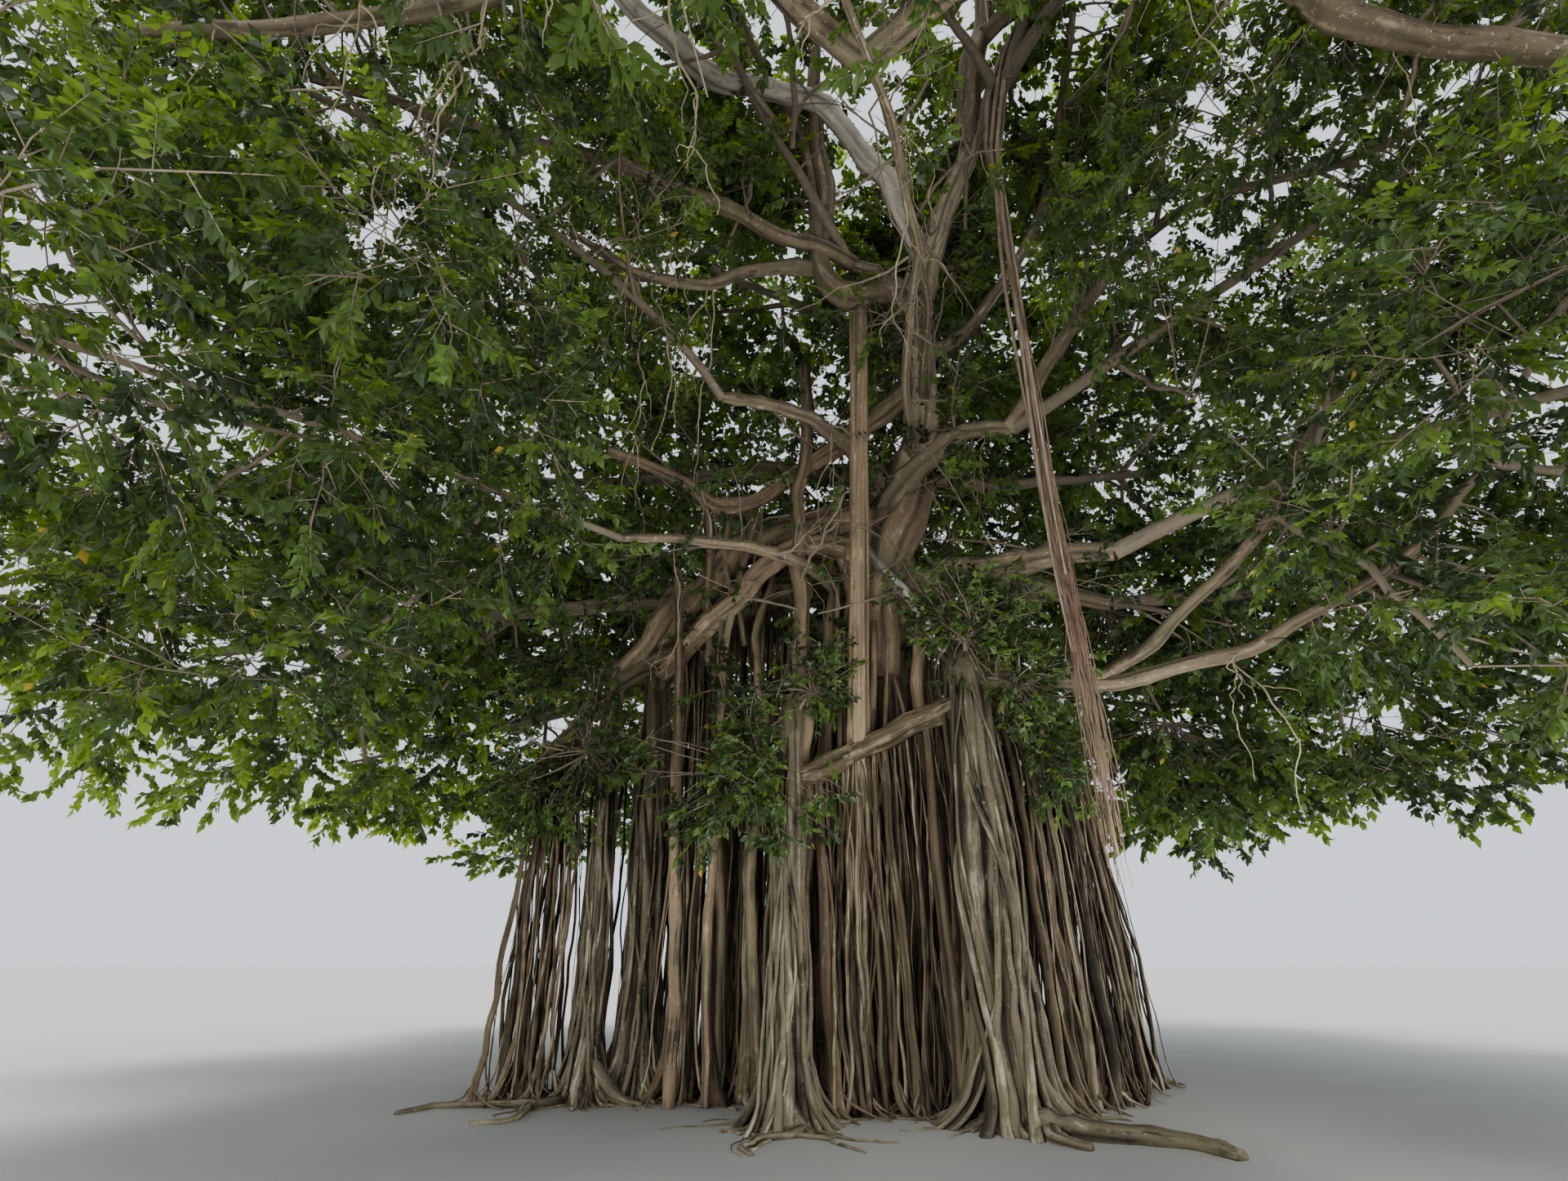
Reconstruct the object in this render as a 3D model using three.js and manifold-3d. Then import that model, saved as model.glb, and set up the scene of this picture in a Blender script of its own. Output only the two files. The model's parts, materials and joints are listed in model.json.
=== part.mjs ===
// Banyan tree: a fluted trunk inside a ring of pillar roots and root curtains, twenty boughs, and
// the crown as leafy masses that each keep to their own space. Millimetres, +Z up, +X to the right
// and +Y away from the viewer. The origin is the middle of the trunk's flat cut, on level ground.

import * as THREE from 'three';
import { mergeVertices } from 'three/addons/utils/BufferGeometryUtils.js';
import Module from 'manifold-3d';

const wasm = await Module();
wasm.setup();

const v = (x, y, z) => new THREE.Vector3(x, y, z);
const degrees = THREE.MathUtils.degToRad;

// How the solids meet
const CLEAR = 0.3; // gap between neighbours that touch
const WELD = 1e-3; // corners closer than this are one
const GROUND_BLOCK = 60000; // side of the block that keeps what is above the ground

// Trunk: its lean, taper, flutes and root flare
const TRUNK_HEIGHT = 9100;
const TRUNK_LEAN = v(600, -1300, 0); // how far the fork stands from over the foot
const LEAN_POWER = 1.6;
const TRUNK_FOOT_RADIUS = 900;
const TRUNK_FORK_RADIUS = 560;
const FLARE = 520;
const FLARE_HEIGHT = 650;
const FLUTES = 7;
const FLUTE_DEPTH = 0.11;
const TRUNK_SIDES = 14;
const TRUNK_STEPS = 7;

// Stems fused round the trunk: bearing from the axis, reach of the foot, height of the joint
const STEM_GIRTH = 210;
const TRUNK_STEMS = [
  { bearing: -152, reach: 1700, joint: 8300 },
  { bearing: -60, reach: 1500, joint: 8500 },
  { bearing: 12, reach: 1850, joint: 7900 },
  { bearing: 80, reach: 1800, joint: 8200 },
  { bearing: 145, reach: 1900, joint: 7400 },
];
const STEM_SIDES = 5;
const STEM_STEPS = 4;

// Leader: the limb that carries on from the fork
const LEADER_TOP = v(2650, -4500, 16300);
const LEADER_BOW = v(100, 1100, 0);
const LEADER_GIRTH = [430, 210];

// Pillar roots: foot, head, girth at the foot and at the head, where the arm meets the trunk,
// and the bearings of the roots that splay from the foot
const PILLARS = [
  { name: 'pillar_left_outer', foot: [-3900, -1450], head: [-3980, -1500, 6150], girth: [200, 170],
    arm: 8300, armGirth: 230, splay: [150, -85, -30] },
  { name: 'pillar_left_inner', foot: [-3230, -1050], head: [-3330, -1150, 6550], girth: [290, 240],
    arm: 8800, armGirth: 300, splay: [-115, -65, 10] },
  { name: 'pillar_front', foot: [-1130, -3350], head: [-1080, -3000, 5000], girth: [250, 180],
    arm: 6900, armGirth: 170, splay: [-150, -105, -65, -20] },
  { name: 'pillar_right', foot: [1500, -3150], head: [1560, -2900, 5900], girth: [330, 290],
    arm: 8000, armGirth: 230, splay: [-140, -95, -30] },
  { name: 'pillar_back_left', foot: [-2200, 2900], head: [-2150, 2650, 6200], girth: [280, 230],
    arm: 8200, armGirth: 250, splay: [80, 130, 200] },
  { name: 'pillar_back_right', foot: [2500, 2700], head: [2400, 2500, 6000], girth: [300, 240],
    arm: 7900, armGirth: 250, splay: [5, 60, 120] },
];
const PILLAR_SIDES = 7;
const PILLAR_STEPS = 3;
const ARM_SIDES = 6;
const ARM_STEPS = 2;
const SPLAY_REACH = 780;
const SPLAY_START = 760;
const SPLAY_GIRTH = 105;

// Roots that creep over the ground from a pillar's foot: reach, sideways swing and girth
const CREEPERS = {
  pillar_left_outer: [{ bearing: -148, reach: 2300, swing: 300, girth: 90 },
    { bearing: -118, reach: 2000, swing: -340, girth: 80 }],
  pillar_front: [{ bearing: -100, reach: 1500, swing: 260, girth: 75 }],
  pillar_right: [{ bearing: -50, reach: 2500, swing: -240, girth: 190 },
    { bearing: -72, reach: 1500, swing: 220, girth: 140 }],
  pillar_back_left: [{ bearing: 140, reach: 2300, swing: 300, girth: 110 }],
  pillar_back_right: [{ bearing: 40, reach: 2400, swing: -300, girth: 120 }],
};

// Root curtains: the header limb's two ends, its bow, its girth, the stretch of it that roots hang
// from, and the roots
const CURTAINS = [
  { name: 'curtain_left', from: [-5050, -1750, 4300], to: [-3960, -1490, 5700], bow: [0, 0, 300],
    girth: [80, 130], hang: [0.03, 0.72], roots: 5, rootGirth: 62, spread: 260 },
  { name: 'curtain_mid_left', from: [-3310, -1130, 6250], to: [150, -1150, 8050],
    bow: [0, -750, 350], girth: [170, 230], hang: [0.14, 0.68], roots: 7, rootGirth: 80,
    spread: 420 },
  { name: 'curtain_front', from: [-1090, -3060, 3950], to: [1540, -2900, 5200],
    bow: [0, 1000, 100], girth: [150, 200], hang: [0.17, 0.84], roots: 9, rootGirth: 82,
    spread: 300 },
  { name: 'curtain_right', from: [1560, -2900, 5150], to: [3350, -1500, 4500], bow: [200, 0, 350],
    girth: [210, 130], hang: [0.22, 0.97], roots: 6, rootGirth: 115, spread: 380 },
  { name: 'curtain_far_right', from: [3370, -1440, 4420], to: [4250, 350, 4300],
    bow: [150, 0, 500], girth: [130, 90], hang: [0.12, 0.97], roots: 6, rootGirth: 85,
    spread: 260 },
  { name: 'curtain_back_left', from: [-4100, 300, 4700], to: [-2170, 2700, 5600],
    bow: [-200, 0, 400], girth: [110, 180], hang: [0.03, 0.84], roots: 7, rootGirth: 85,
    spread: 380 },
  { name: 'curtain_back_right', from: [-2170, 2720, 5400], to: [2420, 2560, 5400],
    bow: [0, 900, 500], girth: [180, 180], hang: [0.14, 0.88], roots: 8, rootGirth: 92,
    spread: 380 },
];
const ROOT_SIDES = 4;
const ROOT_STEPS = 2;
const HEADER_SIDES = 5;
const HEADER_STEPS = 3;

// Prop roots: straight poles that came down from high boughs, each from a share of one's length
const PROPS = [
  { name: 'prop_centre', foot: [-200, -2050], under: 'top_front_left', at: 0.94, girth: [190, 165] },
  { name: 'prop_right', foot: [2350, -1250], under: 'mid_right', at: 0.46, girth: [190, 155] },
];

// Hanging roots: a bundle that drops from the leader and stops short of the ground
const BUNDLE_HOLD = v(2500, -4300, 15900);
const BUNDLE_HEAD = v(2450, -4850, 14900);
const BUNDLE_END = v(2520, -4950, 2750);
const BUNDLE_GIRTH = [75, 110];
const BUNDLE_TAILS = 3;

// Crown: rings of masses, each ring with its middle, radius, height, half sizes and bearings
const HALF_LOW = v(5700, 5700, 3700);
const HALF_MID = v(6000, 6000, 4300);
const HALF_TOP = v(5600, 5600, 4200);
const RINGS = [
  { tier: 'low', middle: [0, -1000], radius: 9900, height: 6900, half: HALF_LOW,
    first: -140, step: -37.1, base: 7500, rise: 500, girth: [310, 130],
    names: ['left_front', 'left', 'left_back', 'back_left', 'back_right', 'right_back', 'right',
      'right_front'] },
  { tier: 'mid', middle: [0, -1500], radius: 7900, height: 12000, half: HALF_MID,
    first: -146, step: -49.6, base: 9600, rise: 1000, girth: [270, 120],
    names: ['left_front', 'left', 'back_left', 'back_right', 'right', 'right_front'] },
  { tier: 'top', middle: [300, -2500], radius: 4300, height: 16300, half: HALF_TOP,
    first: -135, step: -90, base: 12300, rise: 250, girth: [230, 110],
    names: ['front_left', 'back_left', 'back_right', 'front_right'] },
];
const FRONT_MASSES = [
  { name: 'front_mid', centre: [-1000, -11300, 13600], half: v(5200, 4400, 3500),
    base: 11300, rise: 1700, girth: [240, 110] },
  { name: 'front_low', centre: [-1500, -13900, 9100], half: v(5800, 4300, 3900),
    base: 10300, rise: 3300, girth: [250, 110] },
];
const BOUGH_SIDES = 6;
const BOUGH_STEPS = 4;
const BOUGH_SWAY = 700;
const BASE_SPREAD = 500; // how much the heights of a ring's boughs vary on the trunk
const MASS_GAP = 60; // between the spaces of two masses

// Leafy clumps that sprout from the pillars' heads
const CLUMPS = [
  { name: 'clump_left', centre: [-4150, -2350, 4700], half: v(1250, 900, 1150), on: 'pillar_left_outer' },
  { name: 'clump_front', centre: [-1850, -3300, 4350], half: v(1250, 900, 1250), on: 'pillar_front' },
  { name: 'clump_right', centre: [1450, -3500, 6500], half: v(1250, 950, 900), on: 'pillar_right' },
];

// Foliage: a twig runs to the furthest of its places, and the others are shared out among side
// twigs by the same rule. Each blade along a twig stands for a leafy spray.
const PLACES = 5; // for a crown mass
const CLUMP_PLACES = 2;
const SPREAD = v(0.56, 0.56, 0.82); // share of the half sizes that twig ends reach
const SIDE_SHARE = 0.6; // how soon a side twig leaves for its places
const SIDE_LIMITS = [0.08, 0.72];
const SIDE_GIRTH = 0.72;
const BLADE = { length: 3200, width: 2200, thick: 100 };
const CLUMP_BLADE = { length: 1000, width: 640, thick: 36 };
const BLADES = [ // where each blade stands along its twig, its turn aside, its droop and its roll
  { stop: 1, aside: 0, droop: 0.15, roll: 30 },
  { stop: 0.8, aside: 62, droop: 0.42, roll: -48 },
  { stop: 0.54, aside: -58, droop: 0.2, roll: 52 },
];
const BLADE_SCALES = [1, 0.8, 0.62]; // a blade is as large as its space lets it be
const BLADE_SINK = 0.3; // how far a blade's root passes its twig's axis, as a share of its girth
const TWIG_SIDES = 3;
const TWIG_END = 42;
const GOLDEN_ANGLE = Math.PI * (3 - Math.sqrt(5)); // turns a spiral evenly over a ball

const BARK = { color: 0x8a7a66, roughness: 0.9, metalness: 0 };
const ROOT_BARK = { color: 0x7d6a56, roughness: 0.92, metalness: 0 };
const LEAF = { color: 0x3d5a24, roughness: 0.55, metalness: 0 };

const tree = new THREE.Group();

// A closed mesh geometry as a solid: only the corners count, and shared ones are merged.
function solidOf(geometry) {
  geometry.deleteAttribute('normal');
  geometry.deleteAttribute('uv');
  const merged = mergeVertices(geometry, WELD);
  return new wasm.Manifold(new wasm.Mesh({
    numProp: 3,
    vertProperties: new Float32Array(merged.attributes.position.array),
    triVerts: new Uint32Array(merged.index.array),
  }));
}

// The largest piece of a solid that a cut may have parted.
function mainPiece(solid) {
  const pieces = solid.decompose();
  return pieces.reduce((best, piece) => (piece.volume() > best.volume() ? piece : best));
}

function fuse(solids) {
  return solids.reduce((sum, solid) => sum.add(solid));
}

const groundBlock = solidOf(new THREE.BoxGeometry(GROUND_BLOCK, GROUND_BLOCK, GROUND_BLOCK)
  .translate(0, 0, GROUND_BLOCK / 2));

// A round limb along a curve. girth(t) is its radius; grow widens and lengthens it all round.
function limb(curve, girth, sides, steps, grow = 0) {
  const geometry = new THREE.CylinderGeometry(1, 1, 1, sides, steps);
  const frames = curve.computeFrenetFrames(steps);
  const place = geometry.attributes.position;
  for (let i = 0; i < place.count; i += 1) {
    const step = Math.round((place.getY(i) + 0.5) * steps);
    const t = step / steps;
    const radius = girth(t) + grow;
    const point = curve.getPointAt(t)
      .addScaledVector(frames.normals[step], radius * place.getX(i))
      .addScaledVector(frames.binormals[step], -radius * place.getZ(i));
    const end = step === 0 ? -grow : step === steps ? grow : 0;
    point.addScaledVector(frames.tangents[step], end);
    place.setXYZ(i, point.x, point.y, point.z);
  }
  return solidOf(geometry);
}

// An upright root or trunk with level rings, so that its foot is cut flat at the ground.
// middle(z) is its axis and girth(z, angle) its radius.
function post(height, middle, girth, sides, steps, grow = 0) {
  const geometry = new THREE.CylinderGeometry(1, 1, 1, sides, steps);
  const place = geometry.attributes.position;
  for (let i = 0; i < place.count; i += 1) {
    const level = Math.round((place.getY(i) + 0.5) * steps) / steps;
    const z = height * level ** 1.35;
    const angle = Math.atan2(-place.getZ(i), place.getX(i));
    const axis = middle(z);
    const radius = girth(z, angle) + grow;
    const lift = level === 1 ? grow : 0;
    place.setXYZ(i, axis.x + radius * place.getX(i), axis.y - radius * place.getZ(i), z + lift);
  }
  return solidOf(geometry);
}

function bowed(from, to, bow) {
  const middle = from.clone().lerp(to, 0.5).add(bow);
  return new THREE.QuadraticBezierCurve3(from, middle, to);
}

const tapered = ([start, end]) => (t) => start + (end - start) * t;

// What stands so far, each widened by the gap, so that the next piece can be cut clear of it.
let standing = null;

function addNode(name, solid, look) {
  const { vertProperties, triVerts } = solid.getMesh();
  const geometry = new THREE.BufferGeometry();
  geometry.setAttribute('position', new THREE.BufferAttribute(vertProperties, 3));
  geometry.setIndex(new THREE.BufferAttribute(triVerts, 1));
  geometry.computeVertexNormals();
  const mesh = new THREE.Mesh(geometry, new THREE.MeshStandardMaterial(look));
  mesh.name = name;
  tree.add(mesh);
}

// build(grow) makes a limb's solid; it is made twice, at its size and widened by the gap.
function addLimb(name, build, look) {
  const whole = build(0);
  const own = standing ? mainPiece(whole.subtract(standing)) : whole;
  addNode(name, own, look);
  const wide = build(CLEAR);
  standing = standing ? standing.add(wide) : wide;
}

// Trunk
function trunkAxis(z) {
  return TRUNK_LEAN.clone().multiplyScalar((z / TRUNK_HEIGHT) ** LEAN_POWER).setZ(z);
}

function trunkGirth(z, angle) {
  const taper = THREE.MathUtils.lerp(TRUNK_FOOT_RADIUS, TRUNK_FORK_RADIUS, z / TRUNK_HEIGHT);
  const flute = 1 + FLUTE_DEPTH * Math.cos(FLUTES * angle + z / 2600);
  return (taper + FLARE * Math.exp(-z / FLARE_HEIGHT)) * flute;
}

function footed(girth, foot, head, height) {
  return (z) => THREE.MathUtils.lerp(foot, head, z / height) + girth * 0.6 * Math.exp(-z / 260);
}

function atBearing(bearing, reach, z) {
  return v(reach * Math.cos(degrees(bearing)), reach * Math.sin(degrees(bearing)), z);
}

function trunk(grow) {
  const core = post(TRUNK_HEIGHT, trunkAxis, trunkGirth, TRUNK_SIDES, TRUNK_STEPS, grow);
  const stems = TRUNK_STEMS.map(({ bearing, reach, joint }) => {
    const foot = atBearing(bearing, reach, 0);
    const head = trunkAxis(joint);
    const axis = (z) => foot.clone().lerp(head, (z / joint) ** 1.5);
    const girth = footed(STEM_GIRTH, STEM_GIRTH, STEM_GIRTH * 1.1, joint);
    return post(joint, axis, girth, STEM_SIDES, STEM_STEPS, grow);
  });
  return fuse([core, ...stems]);
}

addLimb('trunk', trunk, BARK);

// Crown masses: where each one is
const masses = [];
for (const ring of RINGS) {
  ring.names.forEach((name, index) => {
    const centre = atBearing(ring.first + ring.step * index, ring.radius, ring.height)
      .add(v(...ring.middle, 0));
    masses.push({ ...ring, name: `${ring.tier}_${name}`, centre, turn: index % 2 ? 1 : -1,
      base: ring.base + BASE_SPREAD * Math.sin(index * 2.3) });
  });
}
for (const mass of FRONT_MASSES) {
  masses.push({ ...mass, centre: v(...mass.centre), turn: -1 });
}

const meanSize = (half) => (half.x + half.y + half.z) / 3;

// A mass's own space: its ellipsoid, cut off by the planes that it shares with its neighbours.
function inSpace(mass, point, all) {
  const offset = point.clone().sub(mass.centre);
  if (offset.clone().divide(mass.half).length() > 1) return false;
  return all.every((other) => {
    if (other === mass) return true;
    const across = other.centre.clone().sub(mass.centre);
    const apart = across.length();
    const share = 0.5 + (meanSize(mass.half) ** 2 - meanSize(other.half) ** 2) / (2 * apart ** 2);
    return offset.dot(across) / apart < share * apart - MASS_GAP / 2;
  });
}

// Where a bough that comes from base enters its mass's space.
function entry(mass, base, all) {
  const inward = base.clone().sub(mass.centre);
  inward.divideScalar(inward.clone().divide(mass.half).length());
  for (let share = 0.92; share > 0.1; share -= 0.04) {
    const point = mass.centre.clone().addScaledVector(inward, share);
    if (inSpace(mass, point, all)) return point;
  }
  return mass.centre.clone();
}

// Boughs: the leader first, then one for each mass
const leaderCurve = bowed(trunkAxis(TRUNK_HEIGHT - 300), LEADER_TOP, LEADER_BOW);

function limbAxis(z) {
  if (z < TRUNK_HEIGHT) return trunkAxis(z);
  const span = LEADER_TOP.z - TRUNK_HEIGHT;
  return leaderCurve.getPointAt(Math.min(1, (z - TRUNK_HEIGHT) / span));
}

for (const mass of masses) {
  const leads = mass.name === 'top_front_right';
  const base = limbAxis(mass.base);
  const tip = leads ? LEADER_TOP : entry(mass, base, masses);
  const across = tip.clone().sub(base).cross(v(0, 0, 1)).setLength(BOUGH_SWAY * mass.turn);
  const curve = leads ? leaderCurve : bowed(base, tip, across.setZ(mass.rise));
  const girth = leads ? LEADER_GIRTH : mass.girth;
  mass.curve = curve;
  mass.stem = { start: curve.getPointAt(1), girth: girth[1] };
  mass.bough = (grow) => limb(curve, tapered(girth), BOUGH_SIDES, BOUGH_STEPS, grow);
}
masses.sort((a, b) => (b.name === 'top_front_right') - (a.name === 'top_front_right'));
for (const mass of masses) addLimb(`bough_${mass.name}`, mass.bough, BARK);

// Pillar roots, with their arm to the trunk, splayed foot and creeping roots
function creeper(foot, { bearing, reach, swing, girth }, grow) {
  const along = atBearing(bearing, reach, 0);
  const aside = atBearing(bearing + 90, swing, 0);
  const low = girth * 0.3;
  const curve = new THREE.CatmullRomCurve3([0, 0.25, 0.5, 0.75, 1].map((t) => foot.clone()
    .addScaledVector(along, t)
    .addScaledVector(aside, Math.sin(t * 6))
    .setZ(low)));
  return limb(curve, tapered([girth, girth * 0.4]), 4, 5, grow);
}

function pillar({ name, foot, head, girth, arm, armGirth, splay }) {
  const base = v(...foot, 0);
  const top = v(...head);
  const height = top.z;
  const axis = (z) => base.clone().lerp(top, z / height);
  return (grow) => {
    const shaft = post(height, axis, footed(girth[0], ...girth, height), PILLAR_SIDES,
      PILLAR_STEPS, grow);
    const shoulder = axis(height - armGirth * 1.2);
    const reach = bowed(shoulder, trunkAxis(arm), v(0, 0, 350));
    const parts = [shaft, limb(reach, tapered([armGirth * 0.8, armGirth]), ARM_SIDES, ARM_STEPS,
      grow)];
    splay.forEach((bearing, index) => {
      const long = SPLAY_REACH * (1 + 0.18 * (index % 3));
      const rise = SPLAY_START * (1 + 0.35 * (index % 2));
      const curve = bowed(axis(rise), base.clone().add(atBearing(bearing, long, -SPLAY_GIRTH)),
        atBearing(bearing, -long * 0.12, -rise * 0.2));
      parts.push(limb(curve, tapered([SPLAY_GIRTH, SPLAY_GIRTH * 0.7]), 4, 2, grow));
    });
    for (const run of CREEPERS[name] ?? []) parts.push(creeper(base, run, grow));
    return fuse(parts).intersect(groundBlock);
  };
}

for (const spec of PILLARS) addLimb(spec.name, pillar(spec), BARK);

// Prop roots
for (const { name, foot, under, at, girth } of PROPS) {
  const base = v(...foot, 0);
  const top = masses.find((mass) => mass.name === under).curve.getPointAt(at);
  const axis = (z) => base.clone().lerp(top, z / top.z);
  addLimb(name, (grow) => post(top.z, axis, footed(girth[0], ...girth, top.z), 7, 3, grow), BARK);
}

// Root curtains: roots hang from a header limb and fuse with it
function curtain({ from, to, bow, girth, hang, roots, rootGirth, spread }) {
  const header = bowed(v(...from), v(...to), v(...bow));
  const outward = v(...to).sub(v(...from)).cross(v(0, 0, 1)).setLength(1);
  return (grow) => {
    const parts = [limb(header, tapered(girth), HEADER_SIDES, HEADER_STEPS, grow)];
    for (let i = 0; i < roots; i += 1) {
      const head = header.getPointAt(THREE.MathUtils.lerp(...hang, i / (roots - 1)));
      const side = Math.cos(i * 2.4) * spread;
      const foot = head.clone().addScaledVector(outward, side).setZ(0);
      const thick = rootGirth * (1 + 0.35 * Math.sin(i * 1.7));
      const axis = (z) => foot.clone().lerp(head, (z / head.z) ** 1.3);
      parts.push(post(head.z, axis, footed(thick, thick, thick * 0.85, head.z), ROOT_SIDES,
        ROOT_STEPS, grow));
    }
    return fuse(parts);
  };
}

for (const spec of CURTAINS) addLimb(spec.name, curtain(spec), ROOT_BARK);

// Hanging bundle with loose tails
addLimb('hanging_roots', (grow) => {
  const hold = bowed(BUNDLE_HOLD, BUNDLE_HEAD, v(0, -250, 200));
  const drop = bowed(BUNDLE_HEAD, BUNDLE_END, v(-60, 60, 0));
  const parts = [
    limb(hold, () => BUNDLE_GIRTH[0], 5, 2, grow),
    limb(drop, tapered(BUNDLE_GIRTH), 5, 5, grow),
  ];
  for (let i = 0; i < BUNDLE_TAILS; i += 1) {
    const start = drop.getPointAt(0.72);
    const end = BUNDLE_END.clone().add(atBearing((360 * i) / BUNDLE_TAILS, 230, -500 + 160 * i));
    parts.push(limb(bowed(start, end, v(0, 0, 0)), tapered([60, 26]), 3, 2, grow));
  }
  return fuse(parts);
}, ROOT_BARK);

// Foliage: twig ends lie furthest out and on an even spiral over the mass, which is wound
// tighter until enough of them are in the mass's space.
function twigEnds(mass, count, all) {
  const outward = Math.atan2(mass.centre.y, mass.centre.x);
  const reach = mass.half.clone().multiply(SPREAD);
  for (let turns = count; ; turns += 1) {
    const places = [v(Math.cos(outward), Math.sin(outward), 0).multiply(reach).add(mass.centre)];
    for (let i = 0; i < turns; i += 1) {
      const level = 1 - (2 * i + 1) / turns;
      const ring = Math.sqrt(1 - level * level);
      const angle = outward + i * GOLDEN_ANGLE;
      const offset = v(ring * Math.cos(angle), ring * Math.sin(angle), level).multiply(reach);
      const place = offset.add(mass.centre);
      if (inSpace(mass, place, all)) places.push(place);
    }
    if (places.length >= count) return places;
  }
}

const average = (points) => points.reduce((sum, point) => sum.add(point), v(0, 0, 0))
  .divideScalar(points.length);

// A flat leaf shape from root to tip, and the corners that have to stay in its space.
function blade(root, direction, roll, shape, scale) {
  const [length, width, thick] = [shape.length, shape.width, shape.thick].map((size) => size * scale);
  const across = v(0, 0, 1).cross(direction).normalize().applyAxisAngle(direction, degrees(roll));
  const facing = direction.clone().cross(across);
  const middle = root.clone().addScaledVector(direction, length / 2);
  const geometry = new THREE.ConeGeometry(1, 1, 4)
    .scale(width / 2, thick, length / 2)
    .applyMatrix4(new THREE.Matrix4().makeBasis(across, facing, direction))
    .translate(middle.x, middle.y, middle.z);
  const corners = [root, root.clone().addScaledVector(direction, length),
    middle.clone().addScaledVector(across, width / 2),
    middle.clone().addScaledVector(across, -width / 2)];
  return { solid: solidOf(geometry), corners };
}

const touches = (solid) => !solid.intersect(standing).isEmpty();

function halves(points) {
  const spread = new THREE.Box3().setFromPoints(points).getSize(v(0, 0, 0));
  const axis = ['x', 'y', 'z'].reduce((long, next) => (spread[next] > spread[long] ? next : long));
  const sorted = [...points].sort((a, b) => a[axis] - b[axis]);
  const middle = Math.ceil(sorted.length / 2);
  return [sorted.slice(0, middle), sorted.slice(middle)];
}

function foliage(mass, count, shape, all) {
  const parts = [];

  const leaf = (start, tip, girth, { stop, aside, droop, roll }, flip) => {
    const along = tip.clone().sub(start).normalize();
    const side = along.clone().cross(v(0, 0, 1)).normalize();
    const turn = degrees(aside * flip);
    const direction = along.multiplyScalar(Math.cos(turn)).addScaledVector(side, Math.sin(turn))
      .add(v(0, 0, -droop)).normalize();
    const root = start.clone().lerp(tip, stop)
      .addScaledVector(direction, -girth(stop) * BLADE_SINK);
    for (const scale of BLADE_SCALES) {
      const { solid, corners } = blade(root, direction, roll * flip, shape, scale);
      if (corners.every((corner) => inSpace(mass, corner, all)) && !touches(solid)) {
        parts.push(solid);
        return;
      }
    }
  };

  const grow = (start, places, width, flip) => {
    const [tip, ...others] = [...places].sort((a, b) => b.distanceTo(start) - a.distanceTo(start));
    const thickness = tapered([width, TWIG_END]);
    const twig = limb(new THREE.LineCurve3(start, tip), thickness, TWIG_SIDES, 1);
    if (parts.length > 0 && touches(twig)) return;
    parts.push(twig);
    for (const place of BLADES) leaf(start, tip, thickness, place, flip);
    const span = tip.clone().sub(start);
    const groups = others.length > 2 ? halves(others) : others.map((place) => [place]);
    groups.forEach((group, index) => {
      const ahead = average(group).sub(start).dot(span) / span.lengthSq();
      const from = THREE.MathUtils.clamp(ahead * SIDE_SHARE, ...SIDE_LIMITS);
      grow(start.clone().lerp(tip, from), group, SIDE_GIRTH * thickness(from),
        index % 2 ? flip : -flip);
    });
  };

  grow(mass.stem.start, twigEnds(mass, count, all), mass.stem.girth, 1);
  return mainPiece(fuse(parts).subtract(standing));
}

for (const mass of masses) {
  addNode(`crown_${mass.name}`, foliage(mass, PLACES, BLADE, masses), LEAF);
}

for (const clump of CLUMPS) {
  const centre = v(...clump.centre);
  const owner = PILLARS.find(({ name }) => name === clump.on);
  const foot = v(...owner.foot, 0);
  const head = v(...owner.head);
  const level = Math.min(centre.z, head.z - owner.girth[1]) / head.z;
  const start = foot.lerp(head, level);
  const mass = { centre, half: clump.half, stem: { start, girth: 70 } };
  addNode(clump.name, foliage(mass, CLUMP_PLACES, CLUMP_BLADE, [mass]), LEAF);
}

export default tree;
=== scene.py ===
"""Banyan tree: trunk, boughs and hanging roots with their bark, and a crown grown to its leaves.

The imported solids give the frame. Each limb is made again on the same axis and girth with its bark
in relief, and each leafy mass grows on from its bough by the rule of the solids, carried on to
finer twigs, sprays and leaves within the same space. Metres, +Z up, +X to the right and +Y away
from the viewer. The origin is the middle of the trunk's flat foot.
"""

import json
import logging
import math
from dataclasses import dataclass, field
from enum import Enum
from typing import Callable, Mapping, Optional, Sequence, Union

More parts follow.
